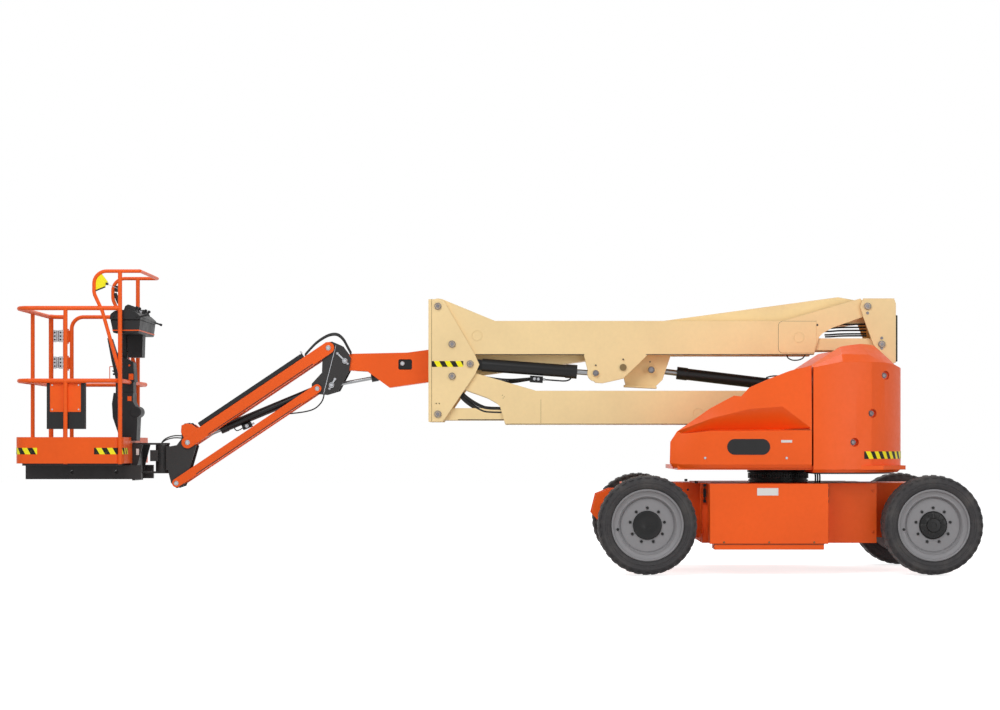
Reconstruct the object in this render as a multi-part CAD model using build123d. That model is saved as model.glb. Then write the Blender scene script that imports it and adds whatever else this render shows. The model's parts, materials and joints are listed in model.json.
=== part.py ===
"""Electric articulating boom lift, stowed, boom pointing to -X.

Millimetres. +Z is up, the ground is Z = 0 and the machine is symmetric about Y = 0
apart from the tower cylinder. Shapes are drawn about the slewing axis (x = 0) and
moved at the end so that the origin lies under the middle of the machine.
"""
from build123d import *
import math
import os

os.makedirs("parts", exist_ok=True)

# ---------------------------------------------------------------- driving sizes
# clearances
MOVE_GAP = 6.0          # between pieces that move past each other
SEAT_GAP = 0.3          # between a piece and the curved or sliding seat that carries it
PIN_FIT = 0.05          # radial play of a pin in its bore

# wheels and axles
WHEELBASE = 2010.0
TYRE_R = 354.0
TYRE_W = 240.0
TRACK_OUTER = 875.0     # outer face of the tyres
RIM_R = 245.0
HUB_CAP_R = 102.0
KINGPIN_IN = 235.0      # kingpin from the tyres' outer face
KINGPIN_R = 20.0
SPINDLE_R = 36.0
STEER_LIMIT = 35.0

# chassis
CHASSIS_BOTTOM = 218.0
CHASSIS_TOP = 645.0
FRAME_HALF = 320.0      # narrow middle frame
SIDE_HALF = 560.0       # wider body between the wheels
SIDE_FRONT_X = -600.0
SIDE_REAR_X = 646.0
BATTERY_FRONT_X = -564.0
BATTERY_REAR_X = 272.0
BATTERY_OUTER = 800.0
TIE_FRONT = (-1262.0, 455.0)
TIE_REAR = (1215.0, 455.0)
TIE_HOLE_R = 25.0
TIE_Y0 = 170.0
TIE_T = 30.0

# slewing ring and turntable
RING_R = 220.0
RING_H = 98.0
BASE_T = 30.0
BASE_FRONT_X = -790.0
BASE_REAR_X = 850.0
BASE_HALF = 765.0

# covers
HOOD_OUTER = 800.0
HOOD_INNER = 235.0
HOOD_WALL = 12.0
HOOD_SEAM_X = 155.0
HOOD_BOTTOM = 755.0
HOOD_FRONT_X = -844.0
HOOD_EDGE = 17.0        # chamfer round the outer face
HOOD_LOW_EDGE = 9.0
HOOD_CORNER = 80.0      # length of the angled front corner
HOOD_CORNER_IN = 40.0
HOOD_RECESS = 6.0       # depth of the sunk band
HOOD_HINGE_X = 143.0
HOOD_HINGE_Y = 794.0
HOOD_HINGES = (860.0, 1160.0)
HOOD_HINGE_H = 70.0
HOOD_BARREL_R = 10.0
HOOD_PIN_R = 5.0
HOOD_LUG_T = 10.0
WEIGHT_TOP = 1640.0
WEIGHT_REAR_X = 880.0
WEIGHT_CORNER_R = 70.0
WEIGHT_EDGE = 12.0
RECESS_R = 34.0
RECESS_DEPTH = 16.0

# tower: two parallelograms of one reach
REACH = 3139.0
PIN_DX = 103.5          # upper pin to lower pin of a parallelogram
PIN_DZ = 277.0
REAR_PIN_X = 633.0      # upper rear pin
LOW_LINK_PIN_Z = 1145.0
MID_BOOM_PIN_Z = 1933.0
MAIN_HALF = 88.0        # main boom
BEAM_GAP = 22.0         # main boom to the twin beams
BEAM_W = 65.0
BEAM_WALL = 6.0
PLATE_GAP = 10.0        # beams to the upright plates
PLATE_T = 15.0
BEAM_TOP = 106.0        # below the beam's pin line
BEAM_BOTTOM = 353.0
LINK_HALF_H = 44.0
BOSS_R = 58.0
PIN_R = 20.0
PIN_HEAD_R = 25.0
PIN_HEAD_T = 12.0

# main boom and fly
BOOM_SLOPE = 7.73
BOOM_PIN_DX = 100.0     # from the upper rear pin
BOOM_PIN_DZ = -49.0
BOOM_ABOVE = 161.5      # top of the section above the pin, across the boom
BOOM_HEIGHT = 215.0
BOOM_WALL = 8.0
BOOM_LENGTH = 3255.0
BOOM_REAR_R = 75.0
MAIN_EYE_U = 1711.0     # lift cylinder's eye along the boom and across it
MAIN_EYE_V = -181.5
FLY_TAIL = 1080.0
FLY_GAP = 7.0
FLY_HALF = 62.0

# jib
TIP_U = 685.7           # tip pin past the main boom's end, and above its pin line
TIP_V = 186.7
JIB_DX = -1035.0
JIB_DZ = -695.0
JIB_TOP_HALF_H = 42.0
JIB_LOW_HALF_H = 28.0
JIB_HALF = 60.0
JIB_PLATE_T = 12.0
JIB_PIN_R = 18.0
PIN_SHORT = 24.0         # tower pins' inner ends from the beams' inner faces
LEVEL_BASE_PIN_R = 10.0
LEVEL_EYE_HALF = 18.0
JIB_EYE_HALF = 24.0

# platform
ROTATOR_DX = -198.0     # from the jib's upper end pin
ROTATOR_R = 50.0
ROTATOR_DZ = -213.0
ROTATOR_H = 195.0
BASKET_GAP = 195.0      # rotator's axis to the basket
BASKET_LENGTH = 770.0
BASKET_HALF = 580.0
TUBE_R = 16.0
FLOOR_RISE = 65.0       # floor above the rotator's foot
TOE_H = 185.0           # heights above the floor
MID_RAIL_H = 588.0
TOP_RAIL_H = 1123.0
BEND_R = 90.0
TOE_CORNER_R = 85.0
TOE_T = 30.0
CONSOLE_FAR_Y = 144.0
GUARD_H = 1384.0
GUARD_R = 13.0
GUARD_BAR_DX = 128.0    # from the basket's back
GUARD_BEND = 90.0
GATE_POST_IN = 110.0    # gate posts from the corner posts
GATE_HINGE_H = (710.0, 915.0)
HINGE_H = 90.0
HINGE_END_GAP = 2.0
HINGE_DX = 26.0
HINGE_PIN_R = 4.0
HINGE_BARREL_R = 8.0
GATE_BAR_DX = 26.0

# cylinders: radius of the barrel, of the rod
TOWER_CYL = (47.0, 20.0)
MAIN_CYL = (43.0, 22.0)
LEVEL_CYL = (26.0, 13.0)
JIB_CYL = (31.0, 16.0)
COLLAR = 4.0            # gland collar beyond the barrel
COLLAR_L = 0.9          # its length in barrel diameters

# ------------------------------------------------------------- derived places
BEAM_IN = MAIN_HALF + BEAM_GAP
PIN_START = BEAM_IN + PIN_SHORT
BEAM_OUT = BEAM_IN + BEAM_W
BEAM_MID = (BEAM_IN + BEAM_OUT) / 2
PLATE_IN = BEAM_OUT + PLATE_GAP
PLATE_OUT = PLATE_IN + PLATE_T
KINGPIN_Y = TRACK_OUTER - KINGPIN_IN
FRONT_X = -WHEELBASE / 2
REAR_X = WHEELBASE / 2
TYRE_Y = TRACK_OUTER - TYRE_W / 2
RING_BOTTOM = CHASSIS_TOP
BASE_BOTTOM = RING_BOTTOM + RING_H
BASE_TOP = BASE_BOTTOM + BASE_T
WEIGHT_BOTTOM = BASE_TOP



def off(at, dx, dz):
    """Point at an offset from another."""
    return (at[0] + dx, at[1] + dz)


A = (REAR_PIN_X, MID_BOOM_PIN_Z)
B = off(A, PIN_DX, -PIN_DZ)
P5T = (REAR_PIN_X, LOW_LINK_PIN_Z)
P4T = off(P5T, PIN_DX, PIN_DZ)
P1 = off(A, -REACH, 0)
P2 = off(B, -REACH, 0)
P5 = off(P5T, -REACH, 0)
P4 = off(P4T, -REACH, 0)
TOWER_CYL_BASE = off(P1, 236, -421)
TOWER_CYL_EYE = off(P1, 1152, -488)
BOOM_PIN = off(A, BOOM_PIN_DX, BOOM_PIN_DZ)
MAIN_CYL_BASE = off(BOOM_PIN, 29, -614)
UPRIGHT_BACK_X = REAR_PIN_X + 207


def boom_point(u, v):
    """Point u along the main boom from its pin and v above it."""
    c = math.cos(math.radians(BOOM_SLOPE))
    s = math.sin(math.radians(BOOM_SLOPE))
    return (BOOM_PIN[0] - u * c - v * s, BOOM_PIN[1] - u * s + v * c)


MAIN_CYL_EYE = boom_point(MAIN_EYE_U, MAIN_EYE_V)
TIP_PIN = boom_point(BOOM_LENGTH + TIP_U, TIP_V)
LEVEL_PIN = off(TIP_PIN, -97, -179)
LEVEL_BASE = off(TIP_PIN, 507, -68)
JIB_TOP_PIN = off(TIP_PIN, -120, 94)
JIB_LOW_PIN = off(TIP_PIN, -202, -205)
JIB_TOP_END = off(JIB_TOP_PIN, JIB_DX, JIB_DZ)
JIB_LOW_END = off(JIB_LOW_PIN, JIB_DX, JIB_DZ)
JIB_PLATE_IN = JIB_HALF + MOVE_GAP
JIB_PLATE_OUT = JIB_PLATE_IN + JIB_PLATE_T
ROTATOR_X = JIB_TOP_END[0] + ROTATOR_DX
ROTATOR_BOTTOM = JIB_TOP_END[1] + ROTATOR_DZ
ROTATOR_TOP = ROTATOR_BOTTOM + ROTATOR_H
BASKET_BACK_X = ROTATOR_X - BASKET_GAP
BASKET_FRONT_X = BASKET_BACK_X - BASKET_LENGTH
FLOOR_Z = ROTATOR_BOTTOM + FLOOR_RISE
TOE_TOP = FLOOR_Z + TOE_H
MID_RAIL_Z = FLOOR_Z + MID_RAIL_H
TOP_RAIL_Z = FLOOR_Z + TOP_RAIL_H
GUARD_TOP_Z = FLOOR_Z + GUARD_H
GUARD_BAR_X = BASKET_BACK_X + GUARD_BAR_DX
GATE_HINGES = [FLOOR_Z + h for h in GATE_HINGE_H]
ORIGIN_X = (BASKET_FRONT_X + REAR_X + TYRE_R) / 2


# ------------------------------------------------------------------- helpers
def block(x0, x1, y0, y1, z0, z1):
    """Box between two corners."""
    return Pos((x0 + x1) / 2, (y0 + y1) / 2, (z0 + z1) / 2) * Box(x1 - x0, y1 - y0, z1 - z0)


def outline(points):
    """Closed XZ outline."""
    return Polygon(*points, align=None)


def slab(sketch, y0, y1):
    """XZ sketch made solid from y0 to y1."""
    return Pos(0, y1, 0) * extrude(Plane.XZ * sketch, y1 - y0, dir=(0, -1, 0))


def disc(at, r):
    """Circle in an XZ sketch."""
    return Pos(at[0], at[1]) * Circle(r)


def pin(at, r, y0, y1):
    """Round bar along Y."""
    return slab(disc(at, r), y0, y1)


def strap(p, q, half):
    """XZ outline of a flat bar with round ends at p and q."""
    run = math.hypot(q[0] - p[0], q[1] - p[1])
    angle = math.degrees(math.atan2(q[1] - p[1], q[0] - p[0]))
    bar = Pos((p[0] + q[0]) / 2, (p[1] + q[1]) / 2) * Rot(0, 0, angle) * Rectangle(run, 2 * half)
    return bar + disc(p, half) + disc(q, half)


def rod(p, q, r):
    """Round bar between two points in space."""
    axis = Vector(*q) - Vector(*p)
    plane = Plane(origin=p, z_dir=axis)
    return extrude(plane * Circle(r), axis.length)


def along(p, q, distance):
    """Point at a distance from p towards q, in XZ."""
    run = math.hypot(q[0] - p[0], q[1] - p[1])
    return (p[0] + (q[0] - p[0]) * distance / run, p[1] + (q[1] - p[1]) * distance / run)


def both(shape):
    """The shape and its mirror image across Y = 0, fused or side by side."""
    return shape + mirror(shape, about=Plane.XZ)


def far(shape):
    """Mirror image across Y = 0."""
    return mirror(shape, about=Plane.XZ)


def save(name, shape):
    """Write one node, moved so that the origin is under the machine's middle."""
    moved = Pos(-ORIGIN_X, 0, 0) * shape
    solids = moved.solids()
    body = solids[0] if len(solids) == 1 else Compound(children=list(solids))
    body.label = name
    export_step(body, f"parts/{name}.step")


def barrel(base, eye, sizes, y, eye_half, barrel_from, barrel_to, bore_start=40):
    """Cylinder barrel with a base eye; bored for its rod."""
    p = along(base, eye, barrel_from)
    q = along(base, eye, barrel_to)
    tube = rod((p[0], y, p[1]), (q[0], y, q[1]), sizes[0])
    neck_end = along(base, eye, barrel_from + 10)
    neck = slab(strap(base, neck_end, sizes[0] * 0.8), y - eye_half, y + eye_half)
    bore_from = along(base, eye, barrel_from + bore_start)
    bore = rod((bore_from[0], y, bore_from[1]), (q[0], y, q[1]), sizes[1] + PIN_FIT)
    gland = along(base, eye, barrel_to - COLLAR_L * 2 * sizes[0])
    collar = rod((gland[0], y, gland[1]), (q[0], y, q[1]), sizes[0] + COLLAR)
    return tube + collar + neck - bore


def piston(base, eye, sizes, y, eye_half, start, eye_r):
    """Rod of a cylinder with its eye; start is measured from the base pin."""
    p = along(base, eye, start)
    run = math.hypot(eye[0] - base[0], eye[1] - base[1])
    q = along(base, eye, run - eye_r * 0.6)
    bar = rod((p[0], y, p[1]), (q[0], y, q[1]), sizes[1])
    return bar + pin(eye, eye_r, y - eye_half, y + eye_half)


def eye_bore(shape, at, r, y0, y1):
    """Bore a pin hole with a running fit."""
    return shape - pin(at, r + PIN_FIT, y0, y1)


# ---------------------------------------------------------------- undercarriage
def chassis():
    body = block(-1160, 1120, -FRAME_HALF, FRAME_HALF, 250, CHASSIS_TOP)
    body += block(SIDE_FRONT_X, SIDE_REAR_X, -SIDE_HALF, SIDE_HALF, CHASSIS_BOTTOM, CHASSIS_TOP)
    hook = outline([(-1159, 300), (-1300, 330), (-1385, 420), (-1350, 560), (-1250, 600), (-1159, 600)])
    ear = outline([(1119, 320), (1230, 380), (1265, 455), (1230, 530), (1119, 600)])
    for lug, hole in ((hook, TIE_FRONT), (ear, TIE_REAR)):
        body += both(slab(lug - disc(hole, TIE_HOLE_R), TIE_Y0, TIE_Y0 + TIE_T))
    return body


def front_axle():
    z = TYRE_R
    fork_y0 = KINGPIN_Y - 120
    fork_y1 = KINGPIN_Y - 70
    beam = block(FRONT_X - 60, FRONT_X + 60, -fork_y1, fork_y1, z - 60, z + 60)
    beam -= block(FRONT_X - 80, FRONT_X + 80, -FRAME_HALF, FRAME_HALF, 240, 500)
    ears = block(FRONT_X - 45, FRONT_X + 45, fork_y0, KINGPIN_Y + 45, z + 90, z + 120)
    ears += block(FRONT_X - 45, FRONT_X + 45, fork_y0, KINGPIN_Y + 45, z - 120, z - 90)
    ears += block(FRONT_X - 45, FRONT_X + 45, fork_y0, fork_y1, z - 120, z + 120)
    ears += Pos(FRONT_X, KINGPIN_Y, z) * Cylinder(KINGPIN_R, 252)
    return beam + both(ears)


def knuckle():
    z = TYRE_R
    body = Pos(FRONT_X, KINGPIN_Y, z) * Cylinder(46, 168)
    body += Pos(FRONT_X, KINGPIN_Y + 60, z) * Box(80, 60, 120)
    spindle = Pos(FRONT_X, 0, z) * Rot(-90, 0, 0) * Cylinder(SPINDLE_R, TRACK_OUTER - 80 - KINGPIN_Y - 40,
                                                            align=(Align.CENTER, Align.CENTER, Align.MIN))
    body += Pos(0, KINGPIN_Y + 40, 0) * spindle
    body += block(FRONT_X + 30, FRONT_X + 165, KINGPIN_Y - 20, KINGPIN_Y + 20, z - 20, z + 20)
    return body - Pos(FRONT_X, KINGPIN_Y, z) * Cylinder(KINGPIN_R + PIN_FIT, 300)


def rear_axle():
    z = TYRE_R
    end = TYRE_Y - TYRE_W / 2 - 45
    beam = block(REAR_X - 70, REAR_X + 70, -end, end, z - 70, z + 70)
    beam -= block(REAR_X - 90, REAR_X + 90, -FRAME_HALF, FRAME_HALF, 240, 500)
    stub = Pos(REAR_X, end, z) * Rot(-90, 0, 0) * Cylinder(SPINDLE_R, TRACK_OUTER - 80 - end,
                                                          align=(Align.CENTER, Align.CENTER, Align.MIN))
    motor = Pos(REAR_X, end - 110, z) * Rot(-90, 0, 0) * Cylinder(105, 120,
                                                                 align=(Align.CENTER, Align.CENTER, Align.MIN))
    return beam + both(stub + motor)


def tyre(x, side):
    half = TYRE_W / 2
    shoulder = 26.0
    section = outline([
        (RIM_R, -half + 30), (RIM_R + 40, -half), (TYRE_R - 30, -half), (TYRE_R, -half + shoulder),
        (TYRE_R, half - shoulder), (TYRE_R - 30, half), (RIM_R + 40, half), (RIM_R, half - 30)])
    ring = revolve(Plane.XY * section, Axis.Y)
    return Pos(x, side * TYRE_Y, TYRE_R) * ring


def rim(x, side):
    half = TYRE_W / 2
    # radius, distance from the tyre's middle plane towards the outside
    section = outline([
        (SPINDLE_R + PIN_FIT, 20), (189, 20), (189, -half + 16), (RIM_R + 6, -half + 10), (RIM_R + 6, -half + 20),
        (RIM_R - 1, -half + 26), (RIM_R - 1, half - 26), (RIM_R + 6, half - 20), (RIM_R + 6, half - 10),
        (200, half - 24), (189, 45), (HUB_CAP_R + 20, 60), (HUB_CAP_R, half - 40), (HUB_CAP_R - 20, half - 20),
        (0, half - 14), (0, half - 40), (SPINDLE_R + PIN_FIT, half - 40)])
    shape = revolve(Plane.XY * section, Axis.Y)
    if side < 0:
        shape = far(shape)
    return Pos(x, side * TYRE_Y, TYRE_R) * shape


def battery_box():
    side = Plane.YZ * Polygon(
        (SIDE_HALF, CHASSIS_BOTTOM + 6), (BATTERY_OUTER - 60, CHASSIS_BOTTOM - 38),
        (BATTERY_OUTER - 25, CHASSIS_BOTTOM - 38), (BATTERY_OUTER, CHASSIS_BOTTOM + 6),
        (BATTERY_OUTER, CHASSIS_TOP), (SIDE_HALF, CHASSIS_TOP), align=None)
    return Pos(BATTERY_FRONT_X, 0, 0) * extrude(side, BATTERY_REAR_X - BATTERY_FRONT_X, dir=(1, 0, 0))


# ------------------------------------------------------------------- turntable
def slew_ring():
    ring = Pos(0, 0, RING_BOTTOM + RING_H / 2) * Cylinder(RING_R - 8, RING_H)
    for z in range(4):
        ring += Pos(0, 0, RING_BOTTOM + 14 + z * 22) * Cylinder(RING_R, 12)
    return ring


def turntable_base():
    base = block(BASE_FRONT_X, BASE_REAR_X, -BASE_HALF, BASE_HALF, BASE_BOTTOM, BASE_TOP)
    base -= Pos(BASE_REAR_X, BASE_HALF, BASE_BOTTOM) * Rot(0, 0, 45) * Box(260, 260, 100)
    base -= Pos(BASE_REAR_X, -BASE_HALF, BASE_BOTTOM) * Rot(0, 0, 45) * Box(260, 260, 100)
    side = outline([(P5T[0] - 203, BASE_TOP - 1), (UPRIGHT_BACK_X, BASE_TOP - 1), (UPRIGHT_BACK_X, P5T[1] - 95),
                    off(P4T, 53, 18), off(P4T, -47, 18), off(P5T, -73, 5)])
    side += disc(P4T, BOSS_R)
    cheeks = slab(side, PLATE_IN, PLATE_OUT)
    cheeks += pin(P4T, PIN_R, PIN_START, PLATE_OUT) + pin(P4T, PIN_HEAD_R, PLATE_OUT, PLATE_OUT + PIN_HEAD_T)
    cheeks += pin(P5T, PIN_HEAD_R, PLATE_OUT, PLATE_OUT + PIN_HEAD_T)
    base += both(cheeks)
    base += pin(P5T, PIN_R, -PLATE_OUT, PLATE_OUT)
    base += block(UPRIGHT_BACK_X - 12, UPRIGHT_BACK_X, -PLATE_OUT, PLATE_OUT, BASE_TOP - 1, P5T[1] + 45)
    return base


def equipment():
    shape = block(-690, 60, 300, 740, BASE_TOP, 985)
    return both(shape)


# side outline and the raised edge's recess: from the cover's front, above its bottom
HOOD_POINTS = [
    (0, 33), (34, 0), (999, 0), (999, 725), (846, 687), (705, 633), (560, 569), (503, 507), (452, 512), (287, 424),
    (51, 259), (4, 184)]
HOOD_BAND = [(92, 215), (85, 265), (496, 401), (698, 431), (799, 431), (984, 283), (984, 269), (280, 269)]


def hood_outline(points):
    """Outline of a cover from points measured from its front lower corner."""
    return outline([(HOOD_FRONT_X + dx, HOOD_BOTTOM + dz) for dx, dz in points])


def front_corner(inset):
    """What the angled front corner of a cover takes away, this far inside its face."""
    y = HOOD_OUTER - inset
    slope = HOOD_CORNER_IN / HOOD_CORNER
    plan = Polygon((HOOD_FRONT_X + HOOD_CORNER, y), (HOOD_FRONT_X - 40, y - slope * (HOOD_CORNER + 40)),
                   (HOOD_FRONT_X - 40, y + 60), (HOOD_FRONT_X + HOOD_CORNER, y + 60), align=None)
    return Pos(0, 0, HOOD_BOTTOM - 10) * extrude(plan, 500, dir=(0, 0, 1))


def hood():
    shell = slab(hood_outline(HOOD_POINTS), HOOD_INNER, HOOD_OUTER)
    edges = shell.faces().sort_by(Axis.Y)[-1].edges()
    high = edges.filter_by(lambda e: e.center().Z > HOOD_BOTTOM + 200 and e.center().X < HOOD_SEAM_X - 1)
    shell = chamfer(high, HOOD_EDGE)
    low = shell.faces().sort_by(Axis.Y)[-1].edges().filter_by(lambda e: e.center().Z < HOOD_BOTTOM + 1)
    shell = chamfer(low, HOOD_LOW_EDGE)
    shell -= front_corner(0)
    inner = offset(hood_outline(HOOD_POINTS), -HOOD_WALL)
    room = slab(inner, HOOD_INNER - 10, HOOD_OUTER - HOOD_WALL)
    shell -= room - front_corner(HOOD_WALL * 1.3)
    shell -= slab(hood_outline(HOOD_BAND), HOOD_OUTER - HOOD_RECESS, HOOD_OUTER + 5)
    shell -= block(HOOD_SEAM_X - 40, HOOD_SEAM_X + 10, HOOD_INNER - 10, HOOD_OUTER - HOOD_WALL, 700, 1400)
    under = block(HOOD_FRONT_X + 44, HOOD_SEAM_X + 10, HOOD_INNER - 10, HOOD_OUTER - HOOD_WALL, 700, 790)
    shell -= under - front_corner(HOOD_WALL * 1.3)
    for z0 in HOOD_HINGES:
        notch = HOOD_LUG_T + 2 * HINGE_END_GAP
        for z in (z0 - notch, z0 + HOOD_HINGE_H):
            shell -= block(HOOD_HINGE_X - 18, HOOD_SEAM_X + 1, HOOD_HINGE_Y - 12, HOOD_HINGE_Y + 12, z, z + notch)
        middle = Pos(HOOD_HINGE_X, HOOD_HINGE_Y, z0 + HOOD_HINGE_H / 2)
        shell += middle * Cylinder(HOOD_BARREL_R, HOOD_HINGE_H)
        shell -= middle * Cylinder(HOOD_PIN_R + PIN_FIT, HOOD_HINGE_H + 2)
    return shell


def hood_lugs():
    """Hinge lugs and pins on the front face of the counterweight."""
    parts = []
    for z0 in HOOD_HINGES:
        for z in (z0 - HINGE_END_GAP - HOOD_LUG_T, z0 + HOOD_HINGE_H + HINGE_END_GAP):
            parts.append(block(HOOD_HINGE_X, HOOD_SEAM_X + MOVE_GAP + 1, HOOD_HINGE_Y - 7, HOOD_HINGE_Y + 5, z,
                               z + HOOD_LUG_T))
        start = z0 - HINGE_END_GAP - HOOD_LUG_T
        parts.append(rod((HOOD_HINGE_X, HOOD_HINGE_Y, start),
                         (HOOD_HINGE_X, HOOD_HINGE_Y, z0 + HOOD_HINGE_H + HINGE_END_GAP + HOOD_LUG_T), HOOD_PIN_R))
    return parts


# bolt recesses: distance ahead of the counterweight's rear, in from its side, height, facing
WEIGHT_RECESSES = [(162, 158, 1418, 45), (252, 76, 1144, 17), (380, 38, 938, 17)]


def counterweight():
    x0 = HOOD_SEAM_X + MOVE_GAP
    inner = PLATE_OUT + 30
    plan = Polygon((x0, HOOD_INNER), (x0, HOOD_OUTER), (WEIGHT_REAR_X - 505, HOOD_OUTER),
                   (WEIGHT_REAR_X - 240, HOOD_OUTER - 80), (WEIGHT_REAR_X - 80, HOOD_OUTER - 240),
                   (WEIGHT_REAR_X, HOOD_OUTER - 400), (WEIGHT_REAR_X, inner), (PLATE_OUT + 100, inner), align=None)
    corners = plan.vertices().filter_by(lambda v: v.X > WEIGHT_REAR_X - 300 and v.Y > inner + 1)
    plan = fillet(corners, WEIGHT_CORNER_R)
    body = Pos(0, 0, WEIGHT_BOTTOM) * extrude(plan, WEIGHT_TOP - WEIGHT_BOTTOM, dir=(0, 0, 1))
    profile = outline([
        (x0, WEIGHT_BOTTOM), (x0, WEIGHT_TOP - 155), (x0 + 119, WEIGHT_TOP - 80), (x0 + 199, WEIGHT_TOP - 25),
        (x0 + 339, WEIGHT_TOP), (WEIGHT_REAR_X - 240, WEIGHT_TOP), (WEIGHT_REAR_X - 20, WEIGHT_TOP - 122),
        (WEIGHT_REAR_X - 20, WEIGHT_TOP - 250), (WEIGHT_REAR_X, WEIGHT_TOP - 260),
        (WEIGHT_REAR_X, WEIGHT_BOTTOM)])
    body = body & slab(profile, 0, HOOD_OUTER + 10)
    for ahead, inward, z, facing in WEIGHT_RECESSES:
        place = Pos(WEIGHT_REAR_X - ahead, HOOD_OUTER - inward, z) * Rot(0, 0, 90 - facing) * Rot(-90, 0, 0)
        body -= place * Cylinder(RECESS_R, 2 * RECESS_DEPTH)
    for piece in hood_lugs():
        body += piece
    return body


def weight_bridge():
    half = PLATE_OUT + 30
    return block(BASE_REAR_X + MOVE_GAP, WEIGHT_REAR_X, -half, half, WEIGHT_BOTTOM, 1180)


# ----------------------------------------------------------------------- tower
# distance from the compact end's pin along the beam, distance below the pin line
BEAM_OUTLINE = [
    (170, BEAM_BOTTOM), (170, 200), (16, 50), (-BOSS_R + 10, 20), (-BOSS_R + 10, -20), (29, -54), (417, BEAM_TOP),
    (REACH - 614, BEAM_TOP), (REACH - 50, -58), (REACH + 21, 30), (REACH - 29, 77), (REACH - 255, 157),
    (REACH - 325, 197), (REACH - 350, 222), (REACH - 388, BEAM_BOTTOM)]


def beam_sketch(origin, direction):
    """Side outline of a tower boom; direction is +1 when its compact end is at the left."""
    points = [(origin[0] + direction * a, origin[1] - b) for a, b in BEAM_OUTLINE]
    shape = outline(points)
    shape += disc(origin, BOSS_R)
    shape += disc((origin[0] + direction * REACH, origin[1]), BOSS_R)
    return shape


def beam(origin, direction):
    """One hollow side beam at +Y, open at both ends for the link that runs inside."""
    shape = slab(beam_sketch(origin, direction), BEAM_IN, BEAM_OUT)
    x0 = origin[0] + direction * 100
    x1 = origin[0] + direction * (REACH - 239)
    z0 = origin[1] - BEAM_BOTTOM + BEAM_WALL
    z1 = origin[1] - BEAM_TOP - BEAM_WALL
    shape -= block(min(x0, x1), max(x0, x1), BEAM_IN + BEAM_WALL, BEAM_OUT - BEAM_WALL, z0, z1)
    for x in (origin[0], origin[0] + direction * REACH):
        shape = eye_bore(shape, (x, origin[1]), PIN_R, BEAM_IN - 5, BEAM_OUT + 5)
    return shape


def lower_boom():
    shape = both(beam(P4T, -1))
    top = P4T[1] - BEAM_TOP
    bottom = P4T[1] - BEAM_BOTTOM
    shape += block(P4[0] + 622, P4T[0] - 887, -BEAM_IN - 1, BEAM_IN + 1, top - 10, top)
    shape += block(P4[0] + 388, P4T[0] - 190, -BEAM_IN - 1, BEAM_IN + 1, bottom, bottom + 10)
    return shape


def link_pair(left, right):
    """Two flat links, one inside each beam."""
    y0 = BEAM_IN + BEAM_WALL + 10
    y1 = BEAM_OUT - BEAM_WALL - 10
    shape = slab(strap(left, right, LINK_HALF_H), y0, y1)
    shape = eye_bore(shape, left, PIN_R, y0 - 5, y1 + 5)
    shape = eye_bore(shape, right, PIN_R, y0 - 5, y1 + 5)
    return both(shape)


UPRIGHT_FRONT = [
    off(P5, -69, -56), off(P1, -69, 51), off(P1, 32, 53), off(P1, 55, 21), off(TOWER_CYL_BASE, 34, 70),
    off(TOWER_CYL_BASE, 67, -5), off(TOWER_CYL_BASE, 38, -73), off(P5, 52, -33), off(P5, 32, -56)]
UPRIGHT_REAR = [
    off(A, -32, 57), (UPRIGHT_BACK_X - 13, A[1] + 57), (UPRIGHT_BACK_X, A[1] + 17), (UPRIGHT_BACK_X, B[1] - 126),
    (UPRIGHT_BACK_X - 18, B[1] - 140), off(B, -37, -140), off(B, -52, -25), off(A, -27, -93), off(A, -54, -5)]


def stub(at, inner=None):
    """Pin fixed in an upright plate at +Y, reaching in through the beam."""
    start = PIN_START if inner is None else inner
    return pin(at, PIN_R, start, PLATE_OUT) + pin(at, PIN_HEAD_R, PLATE_OUT, PLATE_OUT + PIN_HEAD_T)


def upright_front():
    front = P1[0] - 69
    bottom, top = P5[1] - 56, P1[1] + 51
    plate = slab(outline(UPRIGHT_FRONT), PLATE_IN, PLATE_OUT)
    plate += block(front, front + 6, BEAM_OUT - 30, PLATE_IN + 1, bottom, top)
    for at in (P1, P2, P4):
        plate += stub(at)
    shape = both(plate)
    shape += pin(P5, PIN_R, -PLATE_OUT, PLATE_OUT)
    shape += both(pin(P5, PIN_HEAD_R, PLATE_OUT, PLATE_OUT + PIN_HEAD_T))
    shape += block(front, front + 9, -PLATE_IN - 1, PLATE_IN + 1, bottom, P5[1] + 195)
    return shape + far(stub(TOWER_CYL_BASE, BEAM_MID - 25))


def upright_rear():
    plate = slab(outline(UPRIGHT_REAR), PLATE_IN, PLATE_OUT)
    for at in (A, B):
        plate += stub(at)
    shape = both(plate)
    front, back = UPRIGHT_BACK_X - 12, UPRIGHT_BACK_X
    waist = B[1] - 136
    bottom = MAIN_CYL_BASE[1] - 65
    shape += block(front, back, -PLATE_IN - 1, PLATE_IN + 1, waist, A[1] + 22)
    cheek_in = MAIN_CYL[0] + MOVE_GAP
    cheek_out = cheek_in + PLATE_T
    shape += block(front, back, -cheek_out, cheek_out, bottom, waist + 5)
    inner = outline([(front + 1, bottom), (front + 1, waist + 80), off(MAIN_CYL_BASE, -2, 290),
                     off(MAIN_CYL_BASE, -55, 20), off(MAIN_CYL_BASE, -55, -30), (MAIN_CYL_BASE[0] - 2, bottom)])
    inner += disc(MAIN_CYL_BASE, 55)
    shape += both(slab(inner, cheek_in, cheek_out))
    shape += pin(MAIN_CYL_BASE, PIN_R, -cheek_out, cheek_out)
    shape += pin(BOOM_PIN, 30, -PLATE_IN - 1, PLATE_IN + 1)
    return shape


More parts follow.
